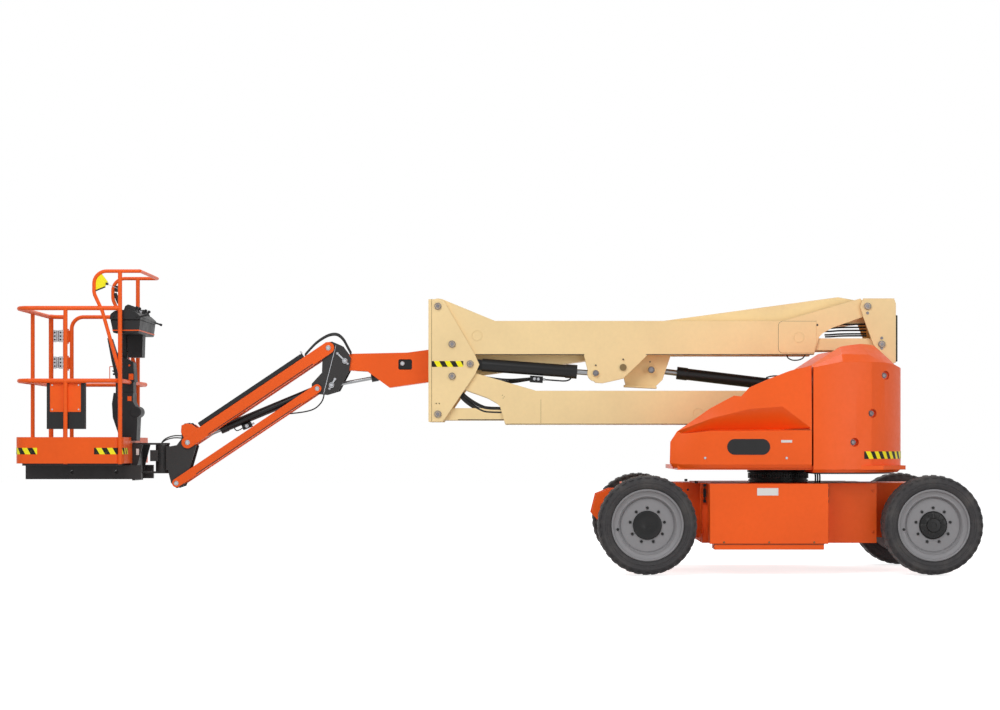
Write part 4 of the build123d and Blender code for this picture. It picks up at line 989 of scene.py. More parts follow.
    def frame_bolts(self, sizes):
        """Small bolts on the frame's side plates."""
        face = high("chassis").y
        bolts = Form()
        for side in (NEAR, FAR):
            for x, z in ((-0.585, 0.590), (0.300, 0.590), (0.300, 0.300), (0.620, 0.590), (0.620, 0.300)):
                bolts.bolt(spot(x, side * face, z), (0, side, 0), sizes.small_bolt)
        bolts.piece("frame_bolts", "chassis", "orange")


# ---------------------------------------------------------------------- covers
# corners of a cover: ahead of its front, above its bottom, in from its outer face
COVER_CORNERS = {
    "front_foot": (0.036, 0.0, 0.060), "bend_foot": (0.086, 0.0, 0.030), "foot": (0.288, 0.0, 0.018),
    "rear_foot": (0.999, 0.0, 0.018), "front_low": (0.0, 0.036, 0.050), "bend_low": (0.084, 0.026, 0.012),
    "low": (0.286, 0.026, 0.0), "rear_low": (0.999, 0.026, 0.0), "front_high": (0.004, 0.186, 0.050),
    "bend_high": (0.084, 0.240, 0.012), "high": (0.286, 0.262, 0.0), "rear_high": (0.999, 0.266, 0.0),
    "pocket_1": (0.084, 0.246, 0.030), "pocket_2": (0.286, 0.270, 0.100), "pocket_3": (0.550, 0.272, 0.115),
    "pocket_4": (0.790, 0.274, 0.115), "pocket_5": (0.976, 0.275, 0.060), "lip_1": (0.051, 0.259, 0.045),
    "lip_2": (0.296, 0.352, 0.006), "lip_3": (0.550, 0.415, 0.0), "lip_4": (0.791, 0.434, 0.0),
    "lip_5": (0.985, 0.290, 0.0), "side": (0.985, 0.276, 0.0), "rear_side": (0.999, 0.290, 0.0),
    "top_1": (0.287, 0.424, 0.026), "top_2": (0.452, 0.512, 0.024), "top_3": (0.503, 0.507, 0.024),
    "top_4": (0.560, 0.569, 0.024), "top_5": (0.705, 0.633, 0.024), "top_6": (0.846, 0.687, 0.024),
    "top_7": (0.999, 0.725, 0.024),
}
COVER_FACES = (
    ("front_foot", "bend_foot", "bend_low", "front_low"), ("bend_foot", "foot", "low", "bend_low"),
    ("foot", "rear_foot", "rear_low", "low"), ("front_low", "bend_low", "bend_high", "front_high"),
    ("bend_low", "low", "high", "bend_high"), ("low", "rear_low", "rear_high", "high"),
    ("bend_high", "high", "pocket_2", "pocket_1"), ("high", "pocket_3", "pocket_2"),
    ("high", "rear_high", "pocket_4", "pocket_3"), ("rear_high", "side", "pocket_5", "pocket_4"),
    ("rear_high", "rear_side", "lip_5", "side"), ("side", "lip_5", "pocket_5"),
    ("front_high", "bend_high", "pocket_1", "lip_1"), ("pocket_1", "pocket_2", "lip_2", "lip_1"),
    ("pocket_2", "pocket_3", "lip_3", "lip_2"), ("pocket_3", "pocket_4", "lip_4", "lip_3"),
    ("pocket_4", "pocket_5", "lip_5", "lip_4"), ("lip_1", "lip_2", "top_1"),
    ("lip_2", "lip_3", "top_3", "top_2", "top_1"), ("lip_3", "top_4", "top_3"),
    ("lip_3", "lip_4", "top_6", "top_5", "top_4"), ("lip_4", "lip_5", "rear_side", "top_7", "top_6"),
)
COVER_RIM = ("top_7", "top_6", "top_5", "top_4", "top_3", "top_2",
             "top_1", "lip_1", "front_high", "front_low",
             "front_foot")
# one half of the counterweight seen from above: ahead of the slewing axis, out from the middle
WEIGHT_PLAN = ((0.1665, 0.80), (0.372, 0.80), (0.470, 0.778),
               (0.585, 0.735), (0.690, 0.650), (0.775, 0.550),
               (0.830, 0.450), (0.850, 0.360), (0.850, 0.245), (0.1665, 0.245))
# plan of the thin foot plate under each half, painted black as the shadow under the counterweight
WEIGHT_SHADOW_FOOT = ((0.180, 0.775), (0.372, 0.775), (0.570, 0.710),
               (0.735, 0.545), (0.800, 0.350), (0.800, 0.250),
               (0.180, 0.250))
WEIGHT_STRIPE = ((0.530, 0.757), (0.585, 0.735), (0.690, 0.650),
                 (0.775, 0.550), (0.830, 0.450), (0.850, 0.360),
                 (0.850, 0.300))
# top edge of the counterweight: ahead of the slewing axis, height
WEIGHT_TOP = ((0.1665, 1.485), (0.280, 1.560), (0.360, 1.615),
              (0.500, 1.640), (0.640, 1.640), (0.790, 1.500),
              (0.900, 1.490))
# bolt recesses: ahead of the slewing axis, out from the middle, height
RECESSES = ((0.699, 0.643, 1.414), (0.593, 0.731, 1.142), (0.459, 0.781, 0.937))
RECESS_DEPTH = 0.055
COVER_FACE = 0.80       # outer face of the covers, out from the middle
COVER_LENGTH = 0.999    # front of a cover to its seam with the counterweight
COVER_INNER = 0.25      # inner edge of a cover's rim, out from the middle
FAR_SHORTER = 0.87      # the far cover beside the near one, in length
FAR_LOWER = 0.93        # and in height
WEIGHT_BEND = 0.372     # where the counterweight's flat side ends, ahead of the slewing axis
WEIGHT_INNER = 0.245    # inner face of each half, out from the middle
WEIGHT_CROWN = 1.640    # its highest level


def profile_height(x):
    """Height of the counterweight's top edge at a distance ahead of the slewing axis."""
    for (x0, z0), (x1, z1) in zip(WEIGHT_TOP, WEIGHT_TOP[1:]):
        if x <= x1:
            return z0 + (z1 - z0) * (x - x0) / (x1 - x0)
    return WEIGHT_TOP[-1][1]


def carve(thing, cutter):
    """Cut one closed piece out of another and leave no modifier behind."""
    cutting = thing.modifiers.new("cut", "BOOLEAN")
    cutting.operation = "DIFFERENCE"
    cutting.object = cutter
    cutting.solver = "EXACT"
    shape = frozen(thing)
    thing.modifiers.clear()
    thing.data = shape
    bpy.data.objects.remove(cutter)


class BOOMLIFT_OT_covers(bpy.types.Operator):
    """Moulded covers and counterweight with their badge, plate, screws, bolts and warning stripes"""
    bl_idname = "boomlift.covers"
    bl_label = "Covers and counterweight"

    def execute(self, context):
        for name, side in SIDES:
            self.shell(name, side)
            self.weight(name, side)
        self.badge()
        self.bridge()
        return {"FINISHED"}

    def bridge(self):
        """Block that joins the counterweight's halves."""
        start, end = low("weight_bridge"), high("weight_bridge")
        block = Form().box(start - Vector((0.040, 0.0, 0.0)), (SLEW.x + 0.827, end.y, end.z))
        block.piece("weight_bridge_block", "turntable", "cover",
                    0.008, ("weight_bridge",), slot="orange_paint")

    def shell(self, name, side):
        """Moulded cover with a sunk pocket, a pressed lip and a wall that turns in along its rim."""
        face = side * COVER_FACE
        front, bottom = low(f"hood_{name}").x, low(f"hood_{name}").z
        seam = front + COVER_LENGTH
        shorter, lower = (1.0, 1.0) if side == NEAR else (FAR_SHORTER, FAR_LOWER)
        form = bmesh.new()
        corners, inner = {}, {}
        for key, (ahead, above, inward) in COVER_CORNERS.items():
            x = seam - (COVER_LENGTH - ahead) * shorter
            corners[key] = form.verts.new((x, face - side * inward, bottom + above * lower))
        for key in COVER_RIM:
            place = corners[key].co
            drop = 0.0 if "foot" in key else 0.045
            inner[key] = form.verts.new((min(seam, place.x + 0.055), side * COVER_INNER, place.z - drop))
        for ring in COVER_FACES:
            form.faces.new([corners[key] for key in ring])
        for a, b in zip(COVER_RIM, COVER_RIM[1:]):
            form.faces.new((corners[a], corners[b], inner[b], inner[a]))
        bmesh.ops.recalc_face_normals(form, faces=form.faces)
        outer = max(form.faces, key=lambda item: side * item.calc_center_median().y)
        if outer.normal.y * side < 0:
            bmesh.ops.reverse_faces(form, faces=form.faces)
        thing = mesh_object(f"hood_{name}_shell", form)
        thing.data.materials.append(finish("cover"))
        wall = thing.modifiers.new("wall", "SOLIDIFY")
        wall.thickness = 0.010
        wall.offset = -1.0
        round_off(thing, 0.006, 3, harden=True)
        smooth(thing)
        settle(thing, f"hood_{name}", (f"hood_{name}",))

    def weight(self, name, side):
        """One cast half with its bolts, a thin foot plate painted black as the shadow under it and, on the
        near side, warning stripes.
        """
        body = "turntable"
        bottom = low("turntable_base").z - 0.020
        thing = self.casting(f"counterweight_{name}", side, bottom)
        bolts = Form()
        for x, y, z in RECESSES:
            bore = Form().turned([(0.0, -RECESS_DEPTH), (0.030, -RECESS_DEPTH),
                                  (0.032, 0.080), (0.0, 0.080)],
                                 spot(x, side * y, z), (0, side, 0), 40)
            bmesh.ops.recalc_face_normals(bore.mesh, faces=bore.mesh.faces)
            carve(thing, mesh_object("bore", bore.mesh))
            bolts.bolt(spot(x - 0.006, side * (y - RECESS_DEPTH - 0.0005), z), (0, side, 0), 0.015)
        thing.data.materials.clear()
        thing.data.materials.append(finish("cover"))
        round_off(thing, 0.014, 4, 14.0, True)
        smooth(thing)
        settle(thing, body, ("counterweight",))
        bolts.piece(f"counterweight_bolts_{name}", body, "pin")
        # thin plate under the casting, painted black as the shadow under the counterweight
        plan = [(SLEW.x + x, side * y) for x, y in WEIGHT_SHADOW_FOOT]
        foot = Form().prism(plan, bottom - 0.010, bottom + 0.002, "XY")
        foot.piece(f"counterweight_shadow_foot_{name}", body, "black")
        if side == NEAR:
            stripes = Form()
            path = [Vector((SLEW.x + x, NEAR * y)) for x, y in WEIGHT_STRIPE]
            band(stripes, path, 0.820, 0.873, STRIPE_LIFT, 1)
            stripes.piece("counterweight_stripes", body, "hazard")

    def casting(self, name, side, bottom):
        """Solid half that draws in towards its sloping roof and its foot."""
        rings = []
        for z, inset in ((bottom, 0.024), (bottom + 0.022, 0.0), (1.505, 0.0),
                         (1.560, 0.050), (WEIGHT_CROWN, 0.170)):
            ring = []
            for x, y in WEIGHT_PLAN:
                out = Vector((max(0.0, x - WEIGHT_BEND) * 0.9, max(0.0, y - WEIGHT_INNER)))
                pull = out.normalized() * min(inset, out.length) if out.length else out
                place = (x - pull.x, y - pull.y)
                height = z if z < 1.2 else min(z, profile_height(place[0]) - (WEIGHT_CROWN - z) * 0.15)
                ring.append((SLEW.x + place[0], side * place[1], height))
            rings.append(ring)
        count = len(WEIGHT_PLAN)
        points = [point for ring in rings for point in ring]
        faces = [tuple(range(count)), tuple(range(len(points) - count, len(points)))]
        for row in range(len(rings) - 1):
            for index in range(count):
                after = (index + 1) % count
                base = row * count
                faces.append((base + index, base + after, base + count + after, base + count + index))
        form = Form().faces(points, faces)
        bmesh.ops.recalc_face_normals(form.mesh, faces=form.mesh.faces)
        return mesh_object(name, form.mesh)

    def badge(self):
        """Blank oval badge, white plate and two screws on the near cover."""
        face = NEAR * COVER_FACE
        badge = Form()
        middle, half, tall = -0.2905, 0.1515, 0.056
        outline = []
        for turn in range(32):
            angle = 2 * math.pi * (turn + 0.5) / 32
            shift = half - tall if math.cos(angle) > 0 else tall - half
            outline.append((SLEW.x + middle + shift + tall * math.cos(angle),
                            0.905 + tall * math.sin(angle)))
        badge.prism(outline, face, face + NEAR * 0.003)
        badge.piece("blank_badge", "hood_near", "plastic", 0.0008)
        plate = Form().box(spot(-0.062, face, 0.935), spot(0.016, face + NEAR * 0.0012, 0.953))
        plate.piece("cover_plate", "hood_near", "plate")
        screws = Form()
        for x in (-0.597, -0.023):
            profile = [(0.009, 0.0), (0.009, 0.002), (0.007, 0.004), (0.0, 0.0045)]
            screws.turned(profile, spot(x, face, 0.8265), (0, NEAR, 0), 16)
        screws.piece("cover_screws", "hood_near", "zinc")


# -------------------------------------------------------------- tower fittings
PIN_HEIGHT = 0.014      # tower pins' heads
UNDERSIDE_SHADE_LIFT = 0.0007           # how far a strip of painted underside shade stands out
BUSH_RING = [(0.040, 0.0), (0.040, 0.0022), (0.037, 0.0030), (0.034, 0.0022), (0.034, 0.0)]


def keeper(form, at, side, lean, reach, sizes):
    """Keeper strip of a pivot pin with its bolt, on a plate that faces side."""
    out = Vector((0, side, 0))
    along_strip = Vector((math.cos(lean), 0.0, math.sin(lean)))
    across = Vector((-math.sin(lean), 0.0, math.cos(lean))) * 0.0055
    end = at + along_strip * reach
    points = []
    for lift in (0.0, 0.005):
        for place in (at + across, end + across, end - across, at - across):
            points.append(place + out * lift)
    form.slab(points)
    form.bolt(end - along_strip * 0.010 + out * 0.005, out, sizes.small_bolt * 0.9)


class BOOMLIFT_OT_tower(bpy.types.Operator):
    """Pivot pins, keepers, stripes, seams, painted underside shade and bumper of the folding tower"""
    bl_idname = "boomlift.tower"
    bl_label = "Tower fittings"

    def execute(self, context):
        sizes = context.scene.boomlift_sizes
        self.front_upright(sizes)
        self.rear_upright(sizes)
        self.mid_boom()
        self.main_boom()
        self.lower_boom()
        self.seams()
        return {"FINISHED"}

    def front_upright(self, sizes):
        """Five turned pins a side, stripes and the small holes of the front upright."""
        face = high("upright_front").y - 0.012
        pins = Form()
        boom_pin, link_pin = pivot("mid_boom_turn"), pivot("mid_link_turn")
        foot_pin = pivot("upright_front_level")
        lower_link_pin = foot_pin + (boom_pin - link_pin) * Vector((1, 1, -1))
        ram_pin = pivot("tower_barrel_turn")
        for side in (NEAR, FAR):
            for at in (boom_pin, link_pin, foot_pin, lower_link_pin, ram_pin):
                pins.pin_head(moved_to(at, side * face), (0, side, 0), sizes.pin_head, PIN_HEIGHT)
        pins.piece("front_upright_pins", "upright_front", "pin")
        stripes = Form()
        path = [Vector((SLEW.x + x, NEAR * face)) for x in (-2.551, -2.321)]
        band(stripes, path, 1.490, 1.532, STRIPE_LIFT, 1)
        stripes.piece("front_upright_stripes", "upright_front", "hazard")
        marks = Form()
        for side in (NEAR, FAR):
            for x in (-2.518, -2.496):
                marks.dot(spot(x, side * face, 1.222), (0, side, 0), 0.005, 0.0015, 12)
            marks.box(spot(-2.553, side * face, 1.092), spot(-2.550, side * (face + 0.0006), 1.984))
        marks.piece("front_upright_marks", "upright_front", "brown", slot="dark_paint")

    def rear_upright(self, sizes):
        """Pins with two keeper bolts each, and the rubber bumper behind."""
        face = high("upright_rear").y - 0.012
        pins = Form()
        for joint, above, below in (("mid_boom_turn", 0.0, 0.050), ("mid_link_turn", 0.044, 0.030)):
            at = pivot("upright_rear_level") + pivot(joint) - pivot("mid_boom_turn")
            for side in (NEAR, FAR):
                foot = moved_to(at, side * face)
                pins.pin_head(foot, (0, side, 0), sizes.pin_head, PIN_HEIGHT)
                for rise in (above, -below):
                    if rise:
                        pins.bolt(foot + Vector((0.0, 0.0, rise)), (0, side, 0), sizes.small_bolt)
        pins.piece("rear_upright_pins", "upright_rear", "pin")
        bumper = Form()
        back = high("upright_rear").x
        bumper.box((back - 0.001, -0.150, 1.530), (back + 0.020, 0.150, 1.870))
        bumper.piece("rear_bumper", "upright_rear", "plastic", 0.004)

    def mid_boom(self):
        """Lapped end plates, bushing rings, plug, pin and small holes of the upper side beam."""
        face = high("mid_boom").y
        rings, holes, laps, lugs = Form(), Form(), Form(), Form()
        for side in (NEAR, FAR):
            out = (0, side, 0)
            corners = ((0.245, 1.592), (-0.015, 1.592), (-0.015, 1.824), (0.262, 1.824))
            lap = rounded(from_slew(corners), 0.032)
            outline = [tuple(point) for point in lap] + [(SLEW.x + 0.262, 1.670)]
            laps.prism(outline, side * face, side * (face + 0.003))
            edge = [(place[0] - 0.0006, side * (face + 0.0006), place[1]) for place in lap]
            for start, end in zip(edge, edge[1:]):
                holes.round_bar(start, end, 0.0016, 6)
            rings.turned(BUSH_RING, spot(-2.220, side * face, 1.720), out, 32)
            rings.turned(BUSH_RING, spot(0.133, side * (face + 0.002), 1.707), out, 32)
            holes.dot(spot(0.268, side * face, 1.797), out, 0.008, 0.001)
        wall = low("mid_boom").y
        for x, z in ((-1.352, 1.502), (-1.152, 1.545)):
            holes.dot(spot(x, wall, z), (0, NEAR, 0), 0.006, 0.001, 12)
        lugs.dot(spot(-1.152, wall, 1.487), (0, NEAR, 0), 0.025, 0.002, 24)
        lugs.piece("mid_boom_plug", "mid_boom", "brown")
        pins = Form().pin_head(spot(-1.352, wall, 1.445), (0, NEAR, 0), 0.022, 0.012)
        pins.piece("tower_eye_pin", "mid_boom", "pin")
        laps.piece("mid_boom_laps", "mid_boom", "cream", 0.0006)
        rings.piece("mid_boom_bushes", "mid_boom", "cream")
        holes.piece("mid_boom_holes", "mid_boom", "dark")

    def main_boom(self):
        """Pin of the lift cylinder's eye and the small holes of the main boom."""
        eye, marks = Form(), Form()
        boom = high("main_boom").y
        for side in (NEAR, FAR):
            eye.pin_head(spot(-0.941, side * boom, 1.472), (0, side, 0), 0.024, 0.012)
            marks.dot(spot(-0.951, side * boom, 1.531), (0, side, 0), 0.006, 0.001, 12)
        marks.round_bar(spot(0.430, -0.02, 2.004), spot(0.430, -0.02, 2.0055), 0.006, 12)
        eye.piece("main_eye_pin", "main_boom", "pin")
        marks.piece("main_boom_marks", "main_boom", "dark")

    def lower_boom(self):
        """Bushing rings, weld seams, a strip of painted underside shade along the lower edge, and small
        holes of the lower side beam.
        """
        rings, seams = Form(), Form()
        face = high("lower_boom").y
        for side in (NEAR, FAR):
            rings.turned(BUSH_RING, spot(-0.605, side * face, 1.150), (0, side, 0), 32)
            seams.box(spot(-1.7545, side * face, 1.078), spot(-1.7525, side * (face + 0.0005), 1.253))
            # long dark strip along the lower edge: painted underside shade
            seams.box(spot(-2.008, side * face, 1.0695), spot(-0.60, side * (face + UNDERSIDE_SHADE_LIFT), 1.0745))
            for x, z in ((-2.035, 1.283), (-2.022, 1.272), (-2.030, 1.262)):
                seams.dot(spot(x, side * face, z), (0, side, 0), 0.003, 0.001, 10)
        rings.piece("lower_boom_bushes", "lower_boom", "cream")
        seams.piece("lower_boom_seams_and_underside_shade", "lower_boom", "brown")

    def seams(self):
        """Painted underside shade: dark strips along the lower edges of the lower links and the upper side
        beam.
        """
        # dark strip painted as the shade under the lower links' edge
        links = Form()
        link = high("lower_links").y
        for side in (NEAR, FAR):
            links.box(spot(-2.360, side * link, 1.1015), spot(-0.60, side * (link + UNDERSIDE_SHADE_LIFT), 1.107))
        links.piece("lower_link_underside_shade", "lower_links", "dark")
        # dark strips painted as the shade under the upper side beam's edge
        under = Form()
        outer = high("mid_boom").y
        for side in (NEAR, FAR):
            for x0, x1 in ((-2.232, -1.436), (-0.985, 0.240)):
                under.box(spot(x0, side * outer, 1.579), spot(x1, side * (outer + UNDERSIDE_SHADE_LIFT), 1.584))
        under.piece("mid_boom_underside_shade", "mid_boom", "dark")


class BOOMLIFT_OT_cylinders(bpy.types.Operator):
    """Valve block and pipes of the lifting cylinders"""
    bl_idname = "boomlift.cylinders"
    bl_label = "Cylinder fittings"

    def execute(self, context):
        sizes = context.scene.boomlift_sizes
        self.tower_cylinder(sizes)
        self.main_cylinder()
        return {"FINISHED"}

    def tower_cylinder(self, sizes):
        """Load-holding valve below the barrel, with its bolts and pipe."""
        base = pivot("tower_barrel_turn")
        run = Vector(JOINTS["tower_rod_slide"]["axis"])
        down = square_down(run)
        block_at = base + run * 0.490 + down * 0.074
        valve = Form().leaning_box(block_at, run, down, (-0.048, 0.048), (-0.022, 0.026), (-0.026, 0.026))
        valve.piece("tower_valve", "tower_barrel", "black", 0.002)
        bolts = Form()
        for shift in (-0.014, 0.014):
            bolts.bolt(block_at + run * shift + Vector((0, -0.026, 0)), (0, -1, 0), sizes.small_bolt)
        bolts.round_bar(block_at + run * 0.048, block_at + run * 0.066, 0.009, 6)
        bolts.piece("tower_valve_bolts", "tower_barrel", "zinc")
        start = block_at + run * 0.060
        knee = base + run * 0.735 + down * 0.074
        pipe = [start, start + (knee - start).normalized() * 0.06, knee, base + run * 0.742 + down * 0.046]
        tube("tower_valve_pipe", pipe, 0.0055, "tower_barrel", "black")

    def main_cylinder(self):
        """Pipe along the top of the main lift cylinder."""
        base = pivot("main_barrel_turn")
        rod_eye = spot(-0.938, 0.0, 1.474)
        run = Vector(JOINTS["main_rod_slide"]["axis"])
        gland = base + run * ((base - rod_eye).length - 0.190)
        up = -square_down(run)
        pipe = [gland - run * back + up * rise for back, rise in
                ((0.66, 0.044), (0.70, 0.066), (0.80, 0.070), (0.95, 0.052))]
        tube("main_pipe", pipe, 0.005, "main_barrel", "black")


# ----------------------------------------------------------------- fly and jib
CHEEK = 0.008           # thickness of the jib links' side plates
# upper corner of the top link's side plates, from its tip pin
CHEEK_HUMP = ((-0.048, 0.075), (-0.044, 0.126), (-0.007, 0.140),
              (0.032, 0.134), (0.088, 0.094), (0.060, 0.020),
              (0.0, -0.030), (-0.033, -0.012), (-0.026, 0.033))


class BOOMLIFT_OT_jib(bpy.types.Operator):
    """Pins, seams and fittings of the fly boom, the levelling bracket and the jib"""
    bl_idname = "boomlift.jib"
    bl_label = "Fly and jib fittings"

    def execute(self, context):
        sizes = context.scene.boomlift_sizes
        face = high("jib_bracket").y - 0.008
        eye = pivot("level_barrel_turn") + Vector(JOINTS["level_rod_slide"]["axis"]) * 0.614
        pins = Form()
        for side in (NEAR, FAR):
            for at, lean, reach in ((pivot("jib_bracket_level"), 2.35, 0.085), (eye, 1.05, 0.060)):
                foot = moved_to(at, side * face)
                pins.pin_head(foot, (0, side, 0), 0.021, 0.010)
                keeper(pins, foot, side, lean, reach, sizes)
                pins.bolt(foot - Vector((math.cos(lean), 0, math.sin(lean))) * 0.030, (0, side, 0), 0.006)
        pins.piece("bracket_pins", "jib_bracket", "zinc")
        seam = Form()
        for side in (NEAR, FAR):
            a, b = spot(-3.262, side * face, 1.652), spot(-3.352, side * face, 1.298)
            seam.round_bar(a, b, 0.0025, 8)
        seam.piece("bracket_seam", "jib_bracket", "zinc")
        self.links()
        self.fly()
        return {"FINISHED"}

    def links(self):
        """Side plates of both links with their pin heads and seams, then what hangs on them."""
        top, root, tip = pivot("jib_lift"), pivot("jib_low_turn"), pivot("jib_end_level")
        foot = root + (tip - top)
        run = (tip - top).normalized()
        up = -square_down(run)
        cheek = high("jib_bracket").y + 0.001
        outer = cheek + CHEEK
        for name, start, end, half, head in (("top", top, tip, 0.044, 0.019),
                                             ("low", root, foot, 0.032, 0.017)):
            cheeks, heads, seams = Form(), Form(), Form()
            body = f"jib_{name}_link"
            for side in (NEAR, FAR):
                outline = []
                for at, way in ((start, 1), (end, -1)):
                    for step in range(13):
                        angle = math.pi * (step / 12 - 0.5) * way
                        rim = at - run * way * half * math.cos(angle) + up * half * math.sin(angle)
                        outline.append((rim.x, rim.z))
                    heads.pin_head(moved_to(at, side * outer), (0, side, 0), head, 0.006)
                cheeks.prism(outline, side * cheek, side * outer)
                pad = [start + run * 0.150 + up * half, end - run * 0.170 + up * half,
                       end - run * 0.170 - up * half, start + run * 0.150 - up * half]
                cheeks.prism([(corner.x, corner.z) for corner in pad], side * 0.059, side * (cheek + 0.004))
                if name == "top":
                    hump = [(end.x + x, end.z + z) for x, z in CHEEK_HUMP]
                    cheeks.prism(hump, side * cheek, side * (outer - 0.0002))
                drop = Vector((0, side * (outer + 0.0005), 0)) - up * half * 0.80
                seams.round_bar(start + run * 0.160 + drop, end - run * 0.160 + drop, 0.003, 8)
            cheeks.piece(f"jib_{name}_cheeks", body, "orange", 0.002)
            heads.piece(f"jib_{name}_pins", body, "zinc")
            seams.piece(f"jib_{name}_seams", body, "dark")
        self.hose_channel(top, run, up)
        self.jib_valve(root)

    def hose_channel(self, top, run, up):
        """Black channel along the top link with its clamp."""
        root = top + run * 0.185 + up * 0.060
        channel = Form().leaning_box(root, run, up, (0.0, 0.920), (-0.016, 0.018), (-0.090, -0.048))
        channel.piece("jib_hose_channel", "jib_top_link", "plastic", 0.005)
        stud = moved_to(root, -0.069)
        clamp = Form().round_bar(stud + up * 0.016, stud + up * 0.036, 0.006, 12)
        strap = root + run * 0.012 + up * 0.016
        clamp.round_bar(moved_to(strap, -0.093), moved_to(strap, -0.045), 0.004, 12)
        clamp.piece("jib_channel_clamp", "jib_top_link", "zinc")

    def jib_valve(self, root):
        """Valve below the jib cylinder's barrel with its plug and looped pipe."""
        ram = Vector(JOINTS["jib_rod_slide"]["axis"])
        below = square_down(ram)
        block = root + ram * 0.590 + below * 0.052
        valve = Form().leaning_box(block, ram, below, (-0.036, 0.036), (-0.020, 0.018), (-0.024, 0.024))
        valve.piece("jib_valve", "jib_barrel", "black", 0.002)
        plug = Form().bolt(block + Vector((0, -0.024, 0)), (0, -1, 0), 0.010)
        plug.round_bar(block - ram * 0.036, block - ram * 0.056, 0.007, 12)
        plug.piece("jib_valve_plug", "jib_barrel", "zinc")
        end = block + ram * 0.036
        loop = [end + ram * ahead + below * drop for ahead, drop in
                ((0.0, 0.0), (0.030, 0.006), (0.052, 0.002), (0.060, -0.022), (0.050, -0.034))]
        tube("jib_valve_pipe", loop, 0.004, "jib_barrel", "black")

    def fly(self):
        """Block and pin that show through the window of the fly boom."""
        block = Form().box(spot(-2.806, -0.052, 1.476), spot(-2.700, 0.052, 1.551))
        block.piece("level_cylinder_head", "fly_boom", "black", 0.003)
        pin = Form().pin_head(spot(-2.774, -0.052, 1.520), (0, -1, 0), 0.017, 0.006)
        pin.piece("level_head_pin", "fly_boom", "zinc")


# -------------------------------------------------------------------- platform
PLATFORM_LENGTH = 0.770
TOE_BOARD = 0.852       # foot of its stripes
DECK_LEVEL = 0.792
DECK_EDGE = 0.09        # rails to the first raised pad
DECK_PITCH = 0.036


